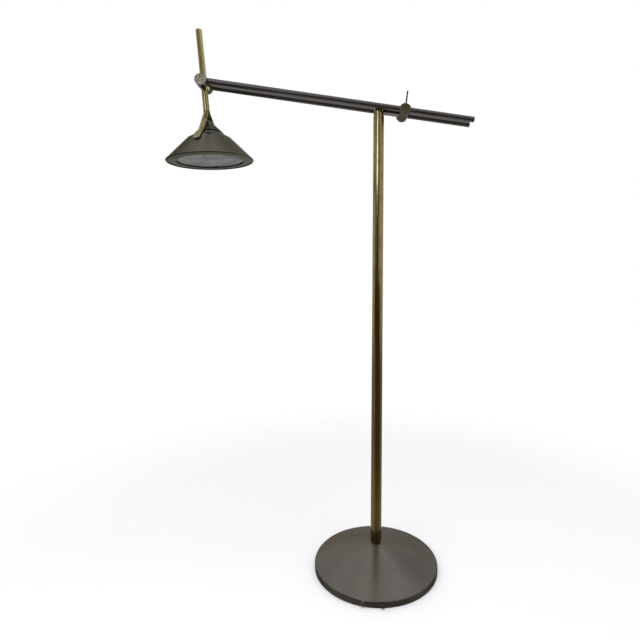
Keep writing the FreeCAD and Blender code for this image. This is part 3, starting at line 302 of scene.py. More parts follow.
settled_dust, take, give = new_group("settled dust", [("Vector", VECTOR, None), ("Amount", FLOAT, 0.5)],
                                     [("Dust", FLOAT)])
up = split(settled_dust, put(settled_dust, "ShaderNodeNewGeometry").outputs["Normal"])[2]
lying = spread(settled_dust, up, LIES_FROM, LIES_TO)
tufts = noise(settled_dust, take["Vector"], FLUFF_PER_METRE, detail=5.0, roughness=0.7)
fluff = spread(settled_dust, tufts, FLUFF_FROM, FLUFF_TO)
settled_dust.links.new(times(settled_dust, times(settled_dust, lying, fluff), take["Amount"]), give["Dust"])
print(settled_dust.name, "has", len(settled_dust.nodes), "nodes")
print("effects", [group.name for group in bpy.data.node_groups])

# %% [markdown]
# ## Where a pattern lies
# The parts lean: the arm by seven degrees, the rod of the shade by six, the shade by
# three. A pattern of lines or rings has to lean with them, so each one is read
# through a Mapping node that moves the part's own axis onto the Z axis.

# %% The axes of the lamp
ARM_TILT, ROD_LEAN, FORK_TURN, SHADE_TILT = (math.radians(a) for a in (7.19, 6.3, -12.4, 3.2))
QUARTER = math.radians(90.0)
PIVOT = Vector((0.0, 0.0, 1.0275))
HEAD_OUT, CROSS_DROP, CLAMP_OUT = 0.399, 0.0022, 0.0574
FORK_DROP, SHADE_DROP = 0.1342, 0.0428

arm_frame = Matrix.Translation(PIVOT) @ Matrix.Rotation(ARM_TILT, 4, "Y")
head_at = arm_frame @ Vector((-HEAD_OUT, 0.0, -CROSS_DROP))
clamp_at = arm_frame @ Vector((CLAMP_OUT, 0.0, -CROSS_DROP))
rod_frame = Matrix.Translation(head_at) @ Matrix.Rotation(-ROD_LEAN, 4, "Y")
fork_frame = rod_frame @ Matrix.Rotation(FORK_TURN, 4, "Z")
fork_foot = fork_frame @ Matrix.Translation((0.0, 0.0, -FORK_DROP))
shade_frame = fork_foot @ Matrix.Rotation(SHADE_TILT, 4, "Y") @ Matrix.Translation((0.0, 0.0, -SHADE_DROP))
stem_frame = Matrix.Identity(4)
arm_axis_frame = arm_frame @ Matrix.Rotation(QUARTER, 4, "Y")
clamp_frame = Matrix.Translation(clamp_at) @ Matrix.Rotation(QUARTER, 4, "X")
head_frame = Matrix.Translation(head_at) @ Matrix.Rotation(QUARTER, 4, "X")
print("head", [round(v, 4) for v in head_at], "shade mouth", [round(v, 4) for v in shade_frame.translation])


# %% Read a pattern along or round an axis
def lie_along(tree, place):
    """The surface's own coordinates, turned so that the frame called place becomes the origin and
    its Z axis the upright: each point p becomes R^-1 (p - t)."""
    own = put(tree, "ShaderNodeTexCoord").outputs["Object"]
    back = place.inverted()
    plugs = {"Vector": own, "Location": back.translation, "Rotation": back.to_euler("XYZ")}
    return put(tree, "ShaderNodeMapping", plugs, vector_type="POINT").outputs[0]


def round_about(tree, place):
    """The direction round that frame's axis at each point: axis x (p - t), turned into the world."""
    own = put(tree, "ShaderNodeTexCoord").outputs["Object"]
    offset = put(tree, "ShaderNodeVectorMath", {0: own, 1: place.translation}, operation="SUBTRACT")
    axis = place.to_3x3() @ Vector((0.0, 0.0, 1.0))
    across = put(tree, "ShaderNodeVectorMath", {0: axis, 1: offset.outputs[0]}, operation="CROSS_PRODUCT")
    return put(tree, "ShaderNodeVectorTransform", {0: across.outputs[0]}, vector_type="VECTOR",
               convert_from="OBJECT", convert_to="WORLD").outputs[0]


print("placing helpers", [helper.__name__ for helper in (lie_along, round_about)])


# %% [markdown]
# ## A start for every finish
# Each material keeps its own Principled shader. Numbers that are the same all over
# are set on the shader itself, and only what changes over the surface is wired.

# %% Begin a material
def begin(name, metallic=0.0, **plain):
    """A new material: returns it, its network and its shader."""
    material = bpy.data.materials.new(name)
    material.use_nodes = True
    tree = material.node_tree
    shader = tree.nodes["Principled BSDF"]
    shader.inputs["Metallic"].default_value = metallic
    for key, value in plain.items():
        shader.inputs[key.replace("_", " ")].default_value = value
    return material, tree, shader


def wire(tree, shader, **plugs):
    """Wires each value to the shader's socket of that name."""
    for key, value in plugs.items():
        tree.links.new(value, shader.inputs[key.replace("_", " ")])


def bump(tree, height, depth, onto=None):
    """A bump of that depth in metres, laid over another one if given."""
    plugs = {"Height": height, "Strength": 1.0, "Distance": depth}
    if onto is not None:
        plugs["Normal"] = onto
    return put(tree, "ShaderNodeBump", plugs).outputs[0]


print("material helpers", [helper.__name__ for helper in (begin, wire, bump)])


# %% [markdown]
# ## Brass
# The stem, the fork and the small turned parts are lacquered brass. In the
# photograph it is olive rather than yellow: the lacquer has dulled it a little and
# it reflects a dim room. The base colour is therefore deep, and the lacquer is a
# coat that adds a paler shine of its own. Smudges change both the colour and the
# shine. Drawn tubes carry lines along them, turned parts carry rings. One plain metal
# would be quicker, but from close by it looks like plastic, so the lines and smudges
# are worked out at every point. The fork is duller than the stem and the knob's face is
# paler. The bar under the arm gets a far darker, browner brass, which is painted shade
# for where it lies under the rods.

# %% The recipe for brass
BRASS, BRASS_DULL = (0.40, 0.325, 0.120), (0.33, 0.262, 0.090)
# The far darker brass of the bar under the arm, and its darker edge tint, are painted shade.
BRASS_SHADED, BRASS_SHADED_DULL = (0.110, 0.086, 0.034), (0.080, 0.061, 0.024)
BRASS_OLIVE, BRASS_OLIVE_DULL = (0.210, 0.172, 0.050), (0.168, 0.136, 0.037)
BRASS_PALE, BRASS_PALE_DULL = (0.235, 0.208, 0.110), (0.185, 0.162, 0.082)
BRASS_SPECK, BRASS_DUST = (0.10, 0.075, 0.030), (0.42, 0.40, 0.34)
BRASS_EDGE, BRASS_SHADED_EDGE = (0.55, 0.52, 0.42, 1.0), (0.26, 0.24, 0.18, 1.0)
WAVES_PER_METRE, WAVE_DEPTH, BRASS_LINE_DEPTH = 16.0, 0.00006, 0.0000008


def brass(name, place, turned=False, bright=BRASS, dull=BRASS_DULL, edge=BRASS_EDGE, rough=(0.12, 0.17)):
    """Lacquered brass. edge is the tint of its reflections at a glancing angle, and rough the
    roughness where it is clean and where it is smudged."""
    material, tree, shader = begin(name, 1.0, Coat_Weight=0.6, Coat_Roughness=0.10, Coat_IOR=1.8,
                                   Specular_Tint=edge)
    own = lie_along(tree, place)
    marks = effect(tree, handling, Vector=own, Size=55.0)
    if turned:
        lines = effect(tree, rings_and_painted_wedges, Vector=own, Fineness=1500.0, Drift=1.0)["Rings"]
    else:
        lines = effect(tree, drawn_lines, Vector=own, Across=2600.0, Along=8.0)["Lines"]
    dust = effect(tree, settled_dust, Vector=own, Amount=0.30)["Dust"]
    colour = tint(tree, marks["Smudges"], bright, dull)
    colour = lay_over(tree, colour, BRASS_SPECK, marks["Specks"], share=0.25)
    colour = lay_over(tree, colour, BRASS_DUST, dust, share=0.35)
    roughness = roughen(tree, spread(tree, marks["Smudges"], 0.0, 1.0, *rough), (lines, 0.05), (dust, 0.2))
    wavy = bump(tree, noise(tree, own, WAVES_PER_METRE, detail=1.0), WAVE_DEPTH)
    wire(tree, shader, Base_Color=colour, Roughness=roughness,
         Normal=bump(tree, lines, BRASS_LINE_DEPTH, onto=wavy))
    return material


# %% Brass for each part
brass_stem = brass("brass_stem", stem_frame)
brass_stem_turned = brass("brass_stem_turned", stem_frame, turned=True)
brass_upright = brass("brass_upright", rod_frame)
brass_upright_turned = brass("brass_upright_turned", rod_frame, turned=True)
brass_fork = brass("brass_fork", fork_frame, bright=BRASS_OLIVE, dull=BRASS_OLIVE_DULL, rough=(0.20, 0.27))
brass_bar_shaded = brass("brass_bar_shaded", arm_axis_frame, bright=BRASS_SHADED, dull=BRASS_SHADED_DULL,
                  edge=BRASS_SHADED_EDGE, rough=(0.16, 0.22))
brass_head = brass("brass_head", head_frame, turned=True)
brass_knob = brass("brass_knob", head_frame, turned=True, bright=BRASS_PALE, dull=BRASS_PALE_DULL,
                   rough=(0.22, 0.30))
print("brass finishes", [m.name for m in bpy.data.materials if m.name.startswith("brass")])

# %% [markdown]
# ## Dark nickel
# Base, shade and arm are a warm dark grey. The base and the shade were brushed while
# they turned, so their scratches run round the axis, and light drags out across the
# scratches into soft wedges from the middle to the rim. The shader's anisotropy does
# that when its tangent runs round the axis and its highlight is turned by a quarter.
# Soft lighter and darker wedges are also painted into the colour, as painted sheen.
# The shade is more olive than the base, and its cap greener and smoother. The arm's
# rods were brushed along their length.

# %% The recipe for spun nickel
NICKEL_DARK, NICKEL_DARK_LOW = (0.165, 0.150, 0.133), (0.125, 0.112, 0.097)
NICKEL_OLIVE, NICKEL_OLIVE_LOW = (0.150, 0.143, 0.120), (0.112, 0.106, 0.088)
NICKEL_GREEN, NICKEL_GREEN_LOW = (0.125, 0.130, 0.100), (0.105, 0.108, 0.082)
NICKEL_SPECK, NICKEL_DUST = (0.05, 0.045, 0.04), (0.33, 0.32, 0.30)
NICKEL_EDGE = (0.40, 0.39, 0.37, 1.0)
RINGS_SHARE, BLEND_FROM, BLEND_TO = 0.45, 0.25, 0.75
SPUN_RING_DEPTH = 0.0000015


def spun_nickel(name, place, low, high, painted_wedge=0.5, rough=(0.22, 0.34), speck=0.2):
    """Brushed nickel between a low and a high colour. The share of painted wedges is how much the soft
    wedges of painted sheen count in the colour, speck how strongly specks show, and rough the roughness
    in and between the rings."""
    material, tree, shader = begin(name, 1.0, Anisotropic=0.75, Anisotropic_Rotation=0.25,
                                   Specular_Tint=NICKEL_EDGE)
    own = lie_along(tree, place)
    rings = effect(tree, rings_and_painted_wedges, Vector=own, Fineness=1300.0, Drift=1.2)
    marks = effect(tree, handling, Vector=own, Size=18.0)
    dust = effect(tree, settled_dust, Vector=own, Amount=0.35)["Dust"]
    # The wedges lay painted sheen into the colour, over the real rings.
    pattern = add(tree, times(tree, rings["Rings"], RINGS_SHARE), times(tree, rings["Painted Wedges"], painted_wedge))
    colour = tint(tree, spread(tree, pattern, BLEND_FROM, BLEND_TO), low, high)
    colour = lay_over(tree, colour, low, marks["Smudges"], share=0.25)
    colour = lay_over(tree, colour, NICKEL_SPECK, marks["Specks"], share=speck)
    colour = lay_over(tree, colour, NICKEL_DUST, dust, share=0.30)
    roughness = roughen(tree, stretch(tree, rings["Rings"], *rough), (marks["Smudges"], 0.05), (dust, 0.15))
    wire(tree, shader, Base_Color=colour, Roughness=roughness, Tangent=round_about(tree, place),
         Normal=bump(tree, rings["Rings"], SPUN_RING_DEPTH))
    return material


# %% Spun nickel for the base, the shade and its cap
base_nickel = spun_nickel("base_nickel", stem_frame, NICKEL_DARK_LOW, NICKEL_DARK)
shade_nickel = spun_nickel("shade_nickel", shade_frame, NICKEL_OLIVE_LOW, NICKEL_OLIVE, rough=(0.20, 0.30))
cap_nickel = spun_nickel("cap_nickel", shade_frame, NICKEL_GREEN_LOW, NICKEL_GREEN, painted_wedge=0.2,
                         rough=(0.30, 0.38), speck=0.0)
print("spun finishes", [material.name for material in (base_nickel, shade_nickel, cap_nickel)])

# %% The arm's rods
ROD_GREY, ROD_GREY_LOW = (0.145, 0.138, 0.130), (0.118, 0.111, 0.104)
ROD_SPECK, ROD_DUST = (0.04, 0.035, 0.03), (0.30, 0.29, 0.27)
ROD_LINE_DEPTH = 0.0000010

rod_dark, tree, shader = begin("rod_dark", 1.0, Specular_Tint=(0.45, 0.44, 0.43, 1.0))
own = lie_along(tree, arm_axis_frame)
lines = effect(tree, drawn_lines, Vector=own, Across=2400.0, Along=8.0)["Lines"]
marks = effect(tree, handling, Vector=own, Size=30.0)
dust = effect(tree, settled_dust, Vector=own, Amount=0.35)["Dust"]
colour = tint(tree, stretch(tree, lines), ROD_GREY_LOW, ROD_GREY)
colour = lay_over(tree, colour, ROD_SPECK, marks["Specks"], share=0.2)
colour = lay_over(tree, colour, ROD_DUST, dust, share=0.25)
wire(tree, shader, Base_Color=colour, Normal=bump(tree, lines, ROD_LINE_DEPTH),
     Roughness=roughen(tree, stretch(tree, lines, 0.30, 0.38), (marks["Smudges"], 0.08)))
print(rod_dark.name, "has", len(tree.nodes), "nodes")

# %% [markdown]
# ## Nickel plate and the steel inside
# The rings of the knob and of the clamp are nickel plated and brighter than the
# rods. The blocks at the head and the clamp's barrel have the same plate, gone dark.
# Inside the base and the shade are zinc-plated steel, with its faint bluish and
# yellowish patches, and blackened screws. One recipe serves them all, because plated
# parts differ only in colour, in roughness and in whether they were turned or drawn.

# %% The recipe for plated steel
PLATE_EDGE = (0.40, 0.38, 0.35, 1.0)
PLATE_SPECK, PLATE_DUST = (0.06, 0.05, 0.035), (0.4, 0.39, 0.36)
PLATE_LINE_DEPTH, FACE_BLEND = 0.000001, 0.0004


def plated(name, place, bright, dull, rough, speck=0.5, turned=True, face=None, face_from=0.0):
    """A plated part, with the roughness rough where it is clean and where it is smudged. Beyond
    face_from along its axis it may show another colour, as on a turned face."""
    material, tree, shader = begin(name, 1.0, Specular_Tint=PLATE_EDGE)
    own = lie_along(tree, place)
    marks = effect(tree, handling, Vector=own, Size=60.0)
    if turned:
        lines = effect(tree, rings_and_painted_wedges, Vector=own, Fineness=1700.0, Drift=1.0)["Rings"]
    else:
        lines = effect(tree, drawn_lines, Vector=own, Across=1500.0, Along=25.0)["Lines"]
    dust = effect(tree, settled_dust, Vector=own, Amount=0.3)["Dust"]
    colour = tint(tree, marks["Smudges"], bright, dull)
    if face is not None:
        on_face = spread(tree, split(tree, own)[2], face_from, face_from + FACE_BLEND)
        colour = tint(tree, on_face, colour, face)
    colour = lay_over(tree, colour, PLATE_SPECK, marks["Specks"], share=speck)
    colour = lay_over(tree, colour, PLATE_DUST, dust, share=0.3)
    roughness = roughen(tree, spread(tree, marks["Smudges"], 0.0, 1.0, *rough), (lines, 0.05))
    wire(tree, shader, Base_Color=colour, Roughness=roughness, Normal=bump(tree, lines, PLATE_LINE_DEPTH))
    return material


# %% Plating for each part
NICKEL_MID = {"bright": (0.250, 0.235, 0.205), "dull": (0.190, 0.175, 0.148), "rough": (0.16, 0.24)}
NICKEL_DEEP = {"bright": (0.112, 0.107, 0.098), "dull": (0.085, 0.080, 0.072), "rough": (0.16, 0.26)}
ZINC = {"bright": (0.52, 0.53, 0.55), "dull": (0.44, 0.43, 0.36), "rough": (0.24, 0.36)}
nickel_rings = plated("nickel_rings", head_frame, speck=0.15, **NICKEL_MID)
nickel_ring_clamp = plated("nickel_ring_clamp", clamp_frame, speck=0.15, **NICKEL_MID)
nickel_blocks = plated("nickel_blocks", head_frame, speck=0.15, **NICKEL_DEEP)
nickel_clamp = plated("nickel_clamp", clamp_frame, speck=0.15, face=BRASS_PALE, face_from=0.0285,
                      **NICKEL_DEEP)
nickel_switch = plated("nickel_switch", stem_frame, (0.32, 0.31, 0.28), (0.24, 0.23, 0.20), (0.12, 0.22))
steel_black = plated("steel_black", clamp_frame, (0.050, 0.048, 0.046), (0.030, 0.029, 0.028), (0.28, 0.42),
                     turned=False)
zinc_base = plated("zinc_base", stem_frame, speck=0.4, **ZINC)
zinc_shade = plated("zinc_shade", shade_frame, speck=0.4, **ZINC)
bulb_mirror = plated("bulb_mirror", shade_frame, (0.72, 0.72, 0.71), (0.60, 0.60, 0.60), (0.08, 0.16))
print("finishes so far", len(bpy.data.materials))

# %% [markdown]
# ## Surfaces with a grain
# Painted cast iron, moulded plastic, a fibre washer and glazed ceramic aren't metal,
# but each has a grain of its own: pits in iron, a fine leather in plastic, ripples in
# a glaze. Dents in the mesh could show it. At less than half a millimetre deep a bump
# does as well, so one recipe takes the size and the depth of the grain.

# %% Painted iron, plastics, fibre and glazed ceramic
GRAIN_DUST = (0.35, 0.33, 0.30)
PITS_FROM, PITS_TO = 0.3, 0.9


def pitted(name, low, high, rough, grain, depth):
    """A surface with a grain, between a low and a high colour. grain is how many pits fit in a metre,
    and depth how deep they are."""
    material, tree, shader = begin(name, 0.0)
    own = put(tree, "ShaderNodeTexCoord").outputs["Object"]
    coarse = noise(tree, own, grain, detail=5.0, roughness=0.65)
    marks = effect(tree, handling, Vector=own, Size=30.0)
    dust = effect(tree, settled_dust, Vector=own, Amount=0.5)["Dust"]
    colour = lay_over(tree, tint(tree, stretch(tree, coarse), low, high), GRAIN_DUST, dust, share=0.4)
    worn = add(tree, coarse, times(tree, marks["Smudges"], 0.3))
    wire(tree, shader, Base_Color=colour, Roughness=spread(tree, worn, PITS_FROM, PITS_TO, *rough),
         Normal=bump(tree, coarse, depth))
    return material


cast_iron = pitted("cast_iron", (0.035, 0.035, 0.037), (0.065, 0.064, 0.063), (0.50, 0.75), 420.0, 0.00035)
black_plastic = pitted("black_plastic", (0.016, 0.016, 0.017), (0.024, 0.024, 0.024), (0.34, 0.50), 1500.0,
                       0.00004)
fibre = pitted("brown_fibre", (0.050, 0.036, 0.020), (0.085, 0.062, 0.036), (0.45, 0.6), 900.0, 0.00003)
nylon = pitted("nylon", (0.66, 0.62, 0.52), (0.73, 0.70, 0.60), (0.35, 0.5), 700.0, 0.00003)
ceramic = pitted("ceramic", (0.74, 0.72, 0.67), (0.82, 0.80, 0.75), (0.18, 0.32), 300.0, 0.00004)
print("grainy finishes", [m.name for m in (cast_iron, black_plastic, fibre, nylon, ceramic)])

# %% [markdown]
# ## Felt, the transformer's tape and its core
# Felt is a mat of short fibres: two noises, one stretched each way, stand for them,
# and a sheen lets its edge catch the light. The transformer is a ring wound with wire
# under yellow tape, on a core of steel strip whose turns show as fine rings.

# %% Felt
FIBRE_DEPTH = 0.0003

felt, tree, shader = begin("felt", 0.0, Sheen_Weight=0.5, Sheen_Roughness=0.6)
own = put(tree, "ShaderNodeTexCoord").outputs["Object"]
one_way = put(tree, "ShaderNodeMapping", {"Vector": own, "Scale": (900.0, 160.0, 900.0)}).outputs[0]
other_way = put(tree, "ShaderNodeMapping", {"Vector": own, "Scale": (140.0, 950.0, 900.0),
                                            "Rotation": (0.0, 0.0, 0.6)}).outputs[0]
one_mat, other_mat = (noise(tree, way, 1.0, detail=3.0, roughness=0.6) for way in (one_way, other_way))
fibres = calc(tree, "MAXIMUM", one_mat, other_mat)
wire(tree, shader,
     Base_Color=tint(tree, spread(tree, fibres, 0.4, 0.75), (0.018, 0.018, 0.018), (0.07, 0.068, 0.065)),
     Roughness=spread(tree, fibres, 0.3, 0.8, 0.85, 1.0), Normal=bump(tree, fibres, FIBRE_DEPTH))
print(felt.name, "has", len(tree.nodes), "nodes")

# %% Wound wire under tape
LAPS_ROUND, LAP_DEPTH, CREASES_PER_METRE, CREASE_DEPTH = 9.0, 0.0006, 160.0, 0.0002

taped, tree, shader = begin("taped_winding", 0.0, Coat_Weight=0.6, Coat_Roughness=0.2)
own = lie_along(tree, stem_frame)
x, y, _ = split(tree, own)
angle = calc(tree, "ARCTAN2", y, x)
laps = put(tree, "ShaderNodeTexWave", {"Vector": join(tree, angle), "Scale": LAPS_ROUND, "Distortion": 0.6},
           wave_profile="SAW").outputs["Fac"]
creases = noise(tree, own, CREASES_PER_METRE, detail=4.0, roughness=0.6)
worn = calc(tree, "MULTIPLY", laps, creases, clamp=True)
wire(tree, shader, Base_Color=tint(tree, worn, (0.62, 0.44, 0.07), (0.40, 0.24, 0.04)),
     Roughness=stretch(tree, creases, 0.35, 0.55),
     Normal=bump(tree, laps, LAP_DEPTH, onto=bump(tree, creases, CREASE_DEPTH)))
print(taped.name, "has", len(tree.nodes), "nodes")

# %% A core of wound strip
STRIP_DEPTH = 0.00015

core, tree, shader = begin("wound_core", 1.0)
own = lie_along(tree, stem_frame)
rings = effect(tree, rings_and_painted_wedges, Vector=own, Fineness=2600.0, Drift=0.3)["Rings"]
wire(tree, shader,
     Base_Color=tint(tree, spread(tree, rings, 0.4, 0.6), (0.16, 0.16, 0.165), (0.34, 0.34, 0.35)),
     Roughness=stretch(tree, rings, 0.35, 0.5), Normal=bump(tree, rings, STRIP_DEPTH))
print(core.name, "has", len(tree.nodes), "nodes")

# %% [markdown]
# ## Glass
# The disc in the shade's mouth is frosted: it lets light through but no picture. In
# the photograph it is grey and even, so only part of it transmits and the rest is a
# plain grey. Its roughness is high and varies a little, and a fine grain of etching
# lies on it as a bump. The capsule of the bulb is clear quartz, faintly wavy.

# %% Frosted glass
ETCHING_PER_METRE, ETCHING_DEPTH = 1800.0, 0.00003

frosted, tree, shader = begin("frosted_glass", 0.0, Transmission_Weight=0.6, IOR=1.5)
own = lie_along(tree, shade_frame)
etching = noise(tree, own, ETCHING_PER_METRE, detail=3.0, roughness=0.6)
cloud = noise(tree, own, 35.0, detail=3.0)
marks = effect(tree, handling, Vector=own, Size=25.0)
wire(tree, shader, Base_Color=tint(tree, stretch(tree, cloud), (0.150, 0.154, 0.150), (0.185, 0.188, 0.182)),
     Roughness=spread(tree, add(tree, etching, marks["Smudges"]), 0.3, 1.3, 0.42, 0.58),
     Normal=bump(tree, etching, ETCHING_DEPTH))
print(frosted.name, "has", len(tree.nodes), "nodes")

# %% Clear quartz
RIPPLES_PER_METRE, RIPPLE_DEPTH = 180.0, 0.0001

quartz, tree, shader = begin("bulb_quartz", 0.0, Transmission_Weight=1.0, IOR=1.46)
own = lie_along(tree, shade_frame)
ripple = noise(tree, own, RIPPLES_PER_METRE)
wire(tree, shader, Base_Color=tint(tree, stretch(tree, ripple), (0.93, 0.95, 0.96), (0.97, 0.98, 0.98)),
     Roughness=stretch(tree, ripple, 0.02, 0.06), Normal=bump(tree, ripple, RIPPLE_DEPTH))
print(quartz.name, "has", len(tree.nodes), "nodes")

# %% [markdown]
# ## Every part gets its finish
# One table says which finish each part wears, and the loop below puts it in every
# slot of the part's mesh. It stops with an error if a part was forgotten.

# %% Dress the parts
FINISH = {
    base_nickel: ["base_shell"],
    shade_nickel: ["shade_shell", "bezel_ring"],
    cap_nickel: ["vent_cap", "shade_nuts"],
    brass_stem: ["stem_tube"],
    brass_stem_turned: ["base_ferrule", "swivel_head"],
    brass_bar_shaded: ["tilt_bar"],
    brass_upright: ["upright_rod"],
    brass_upright_turned: ["rod_cap"],
    brass_fork: ["fork"],
    brass_head: ["head_barrel"],
    brass_knob: ["head_knob_core"],
    rod_dark: ["near_rod", "far_rod"],
    nickel_clamp: ["clamp_barrel"],
    nickel_ring_clamp: ["clamp_ring"],
    nickel_rings: ["head_knob_ring"],
    nickel_blocks: ["near_head_block", "far_head_block", "head_far_stud"],
    nickel_switch: ["switch_ring"],
    steel_black: ["clamp_lever", "head_set_screws", "fork_screws", "glass_clips"],
    zinc_base: ["base_posts", "base_plate", "plate_screws", "transformer_nut", "transformer_bolt",
                "stem_nipple", "hub_disc", "nipple_nut", "stem_plug", "spigot_clip", "tilt_bolt",
                "bar_screw"],
    zinc_shade: ["shade_nipple", "shade_sleeve", "holder_carrier", "bulb_pins"],
    cast_iron: ["base_weight"],
    felt: ["felt_pad"],
    taped: ["transformer_winding"],
    core: ["transformer_core"],
    black_plastic: ["switch_body", "push_button", "cord_gland", "rod_plugs"],
    nylon: ["swivel_bush", "tilt_washers", "clamp_bushes", "rod_bush"],
    fibre: ["swivel_washer"],
    ceramic: ["lamp_holder"],
    bulb_mirror: ["reflector"],
    frosted: ["glass_disc"],
    quartz: ["halogen_bulb"],
}
dressed = set()
for material, names in FINISH.items():
    for name in names:
        for slot in nodes[name].material_slots:
            slot.material = material
        dressed.add(name)
assert dressed == set(nodes), dressed ^ set(nodes)
print("parts dressed", len(dressed), "in", len(FINISH), "finishes")

# %% [markdown]
# ## The floor
# The lamp stands on a white floor. It is a round sheet that fades out at its rim,
# so that from any side it runs into the white background without an edge, and the
# shadow of the lamp still falls on it. Polished metal would mirror the white sheet
# far brighter than a studio floor, so to reflections it fades out close round the
# base already, and they show the grey screen further down instead.

# %% A round white floor
FLOOR_R, FADE_FROM, FADE_TO = 1.2, 0.6, 1.176
MIRROR_FROM, MIRROR_TO = 0.02, 0.17
DISC_HOLE = 0.0005  # metres: a ring of points this small stands for the middle


def disc(name, radius, rings=40, spokes=96):
    """Points (r cos a, r sin a, 0) for r from almost 0 to the radius and a once round."""
    r = np.linspace(DISC_HOLE, radius, rings)[:, None]
    a = np.linspace(0.0, 2.0 * np.pi, spokes, endpoint=False)[None, :]
    return grid_mesh(name, np.stack([r * np.cos(a), r * np.sin(a), np.zeros_like(r * a)], -1), close_u=True)


floor_mesh = disc("floor", FLOOR_R)
floor = bpy.data.objects.new("floor", floor_mesh)
scene.collection.objects.link(floor)
floor_paint, tree, shader = begin("floor_paint", 0.0, Roughness=0.9, Specular_IOR_Level=0.1)
own = put(tree, "ShaderNodeTexCoord").outputs["Object"]
x, y, _ = split(tree, own)
reach = from_axis(tree, x, y)
whole = spread(tree, reach, FADE_FROM, FADE_TO, 1.0, 0.0)
mirrored = put(tree, "ShaderNodeLightPath").outputs["Is Glossy Ray"]
hidden = times(tree, mirrored, spread(tree, reach, MIRROR_FROM, MIRROR_TO))
wire(tree, shader, Base_Color=tint(tree, noise(tree, own, 9.0), (0.94, 0.94, 0.94), (0.96, 0.96, 0.96)),
     Alpha=calc(tree, "SUBTRACT", whole, hidden, clamp=True))
floor_mesh.materials.append(floor_paint)
print("floor faces", len(floor_mesh.polygons))

# %% [markdown]
# ## The background
# To the camera, to glass and to polished metal the surroundings are plain white. For
# the light that falls on the lamp the same sky is a little dimmer, so that with the
# lamps a white surface comes out white and not more.

# %% White surroundings
SKY_LIGHT = 0.75
world = bpy.data.worlds.new("studio")
world.use_nodes = True
scene.world = world
tree = world.node_tree
seen = put(tree, "ShaderNodeLightPath").outputs
seen_or_mirrored = add(tree, seen["Is Camera Ray"], seen["Is Glossy Ray"])
white_for = calc(tree, "ADD", seen_or_mirrored, seen["Is Transmission Ray"], clamp=True)
sky = tint(tree, white_for, (SKY_LIGHT,) * 3, (1.0, 1.0, 1.0))
tree.links.new(sky, tree.nodes["Background"].inputs["Color"])
print("sky lights the lamp at", SKY_LIGHT, "of white")

# %% [markdown]
# ## The dim side of the room
# A polished tube in an all-white room has no shape. Photographers stand behind a grey
# screen for this, and the dark line down the middle of the stem is its reflection.
# This screen is part of a sphere round the lamp. It is dark and brownish where the
# camera is, greyer to the sides, and open above and behind. Only reflections see it:
# it casts no shadow and its glow doesn't light the lamp.

# %% How light each part of the screen is
SCREEN_R, SCREEN_AT = 2.6, Vector((0.0, 0.0, 0.62))
SCREEN_TURN, SCREEN_LOW, SCREEN_HIGH = 170.0, -89.0, 66.0
# Each band has its level ahead of the lamp, its level at the sides, and the azimuths between which
# the one becomes the other, to the left and to the right.
NEAR_FLOOR = (0.21, 0.36, (20.0, 60.0), (50.0, 95.0))
FAR_FLOOR = (0.065, 0.22, (25.0, 60.0), (45.0, 90.0))
LOW_WALL = (0.045, 0.45, (50.0, 90.0), (30.0, 75.0))
HIGH_WALL = (0.085, 0.52, (48.0, 80.0), (-4.0, 42.0))
TOP = 0.85
# The elevations between which each band becomes the next.
TO_FAR_FLOOR, TO_LOW_WALL, TO_HIGH_WALL, TO_TOP = (-45.0, -28.0), (-16.0, -9.0), (-3.0, 0.0), (26.0, 55.0)
# Where the screen thins out to nothing.
OPEN_BEHIND, OPEN_ABOVE = (125.0, 165.0), (38.0, 64.0)


def screen_points(columns=160, rows=120):
    """Points on a sphere, at azimuth a about the camera's side and elevation e:
    (R cos e sin a, -R cos e cos a, R sin e). Returns them with every point's a and e in degrees."""
    a = np.radians(np.linspace(-SCREEN_TURN, SCREEN_TURN, columns))[None, :]
    e = np.radians(np.linspace(SCREEN_LOW, SCREEN_HIGH, rows))[:, None]
    points = np.stack([np.cos(e) * np.sin(a), -np.cos(e) * np.cos(a), np.sin(e) * np.ones_like(a)], -1)
    points = points * SCREEN_R + np.array(SCREEN_AT)
    return points, np.degrees(a) * np.ones_like(e), np.degrees(e) * np.ones_like(a)


def band(a, ahead, aside, to_left, to_right):
    """The level of one band: ahead in front of the lamp, aside on both sides of it."""
    return blend_values(ahead, aside, np.maximum(smoothstep(*to_left, -a), smoothstep(*to_right, a)))


def screen_level(a, e):
    """How light the screen is. From the bottom up: the studio's floor, darkest a little way off, the
    dark front of the room below eye level, its lighter walls above eye level, the open top."""
    level = band(a, *NEAR_FLOOR)
    for next_band, between in ((FAR_FLOOR, TO_FAR_FLOOR), (LOW_WALL, TO_LOW_WALL), (HIGH_WALL, TO_HIGH_WALL)):
        level = blend_values(level, band(a, *next_band), smoothstep(*between, e))
    return blend_values(level, TOP, smoothstep(*TO_TOP, e))


print("dead ahead at eye level the screen is", round(float(screen_level(0.0, 0.0)), 3))


# %% The screen
SCREEN_BROWN, SCREEN_WHITE = (1.0, 0.72, 0.46), (1.0, 1.0, 1.0)
BROWN_BELOW, WHITE_ABOVE = 0.04, 0.32

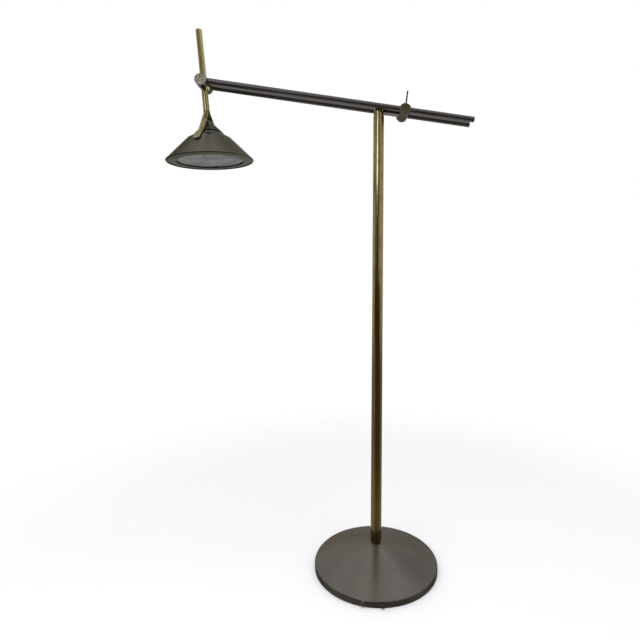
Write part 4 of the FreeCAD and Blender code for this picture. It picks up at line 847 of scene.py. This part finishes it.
points, a, e = screen_points()
screen_mesh = grid_mesh("screen", points)
level = screen_level(a, e).ravel()
cover = ((1.0 - smoothstep(*OPEN_BEHIND, np.abs(a))) * (1.0 - smoothstep(*OPEN_ABOVE, e))).ravel()
for name, values in (("level", level), ("cover", cover)):
    screen_mesh.attributes.new(name, "FLOAT", "POINT").data.foreach_set("value", values.astype(np.float32))
screen = bpy.data.objects.new("screen", screen_mesh)
scene.collection.objects.link(screen)
screen_grey = bpy.data.materials.new("screen_grey")
screen_grey.use_nodes = True
screen_grey.cycles.emission_sampling = "NONE"
tree = screen_grey.node_tree
tree.nodes.remove(tree.nodes["Principled BSDF"])
lightness, covered = (put(tree, "ShaderNodeAttribute", attribute_name=name).outputs["Fac"]
                      for name in ("level", "cover"))
glow = put(tree, "ShaderNodeEmission", {
    "Color": tint(tree, spread(tree, lightness, BROWN_BELOW, WHITE_ABOVE), SCREEN_BROWN, SCREEN_WHITE),
    "Strength": lightness}).outputs[0]
clear = put(tree, "ShaderNodeBsdfTransparent").outputs[0]
mixed = put(tree, "ShaderNodeMixShader", {0: covered, 1: clear, 2: glow})
tree.links.new(mixed.outputs[0], tree.nodes["Material Output"].inputs["Surface"])
screen_mesh.materials.append(screen_grey)
for ray in ("camera", "diffuse", "transmission", "shadow", "volume_scatter"):
    setattr(screen, "visible_" + ray, False)
print("screen levels", round(float(level.min()), 3), "to", round(float(level.max()), 3))

# %% [markdown]
# ## The lamps
# A large soft lamp overhead lights the lamp and gives the floor its soft shadow. It
# is kept out of reflections, where it would shine too hard from the fork. A long, low
# softbox stands before the lamp, mostly to the left of the camera and above it. It
# adds little to the light, but it is what shines from the top of the stem and from
# the rod above the shade. It is faintly blue, so that this shine isn't too yellow.


# %% Two soft lamps
def soft_lamp(name, place, target, size, watts, colour=(1.0, 1.0, 1.0)):
    """A rectangular lamp that faces the target. Its size is its width and height in metres."""
    light = bpy.data.lights.new(name, "AREA")
    light.shape = "RECTANGLE"
    light.size, light.size_y = size
    light.energy = watts
    light.color = colour
    lamp = bpy.data.objects.new(name, light)
    lamp.location = place
    lamp.rotation_euler = (Vector(target) - Vector(place)).to_track_quat("-Z", "Y").to_euler()
    scene.collection.objects.link(lamp)
    return lamp


overhead = soft_lamp("overhead", place=(-0.1, -0.5, 2.5), target=(-0.05, 0.0, 0.3), size=(1.6, 1.1),
                     watts=17.5)
overhead.visible_glossy = False
soft_lamp("softbox", place=(-1.12, -2.1, 1.56), target=(-0.1, 0.0, 0.95), size=(2.3, 0.60), watts=13.5,
          colour=(0.93, 0.98, 1.25))
print("lamps", [light.name for light in bpy.data.lights])

# %% [markdown]
# ## Bring the scene up to date
# The dressed lamp must be as large as the solids it was drawn from. This last cell only
# brings the scene up to date.

# %% Update the scene
bpy.context.view_layer.update()
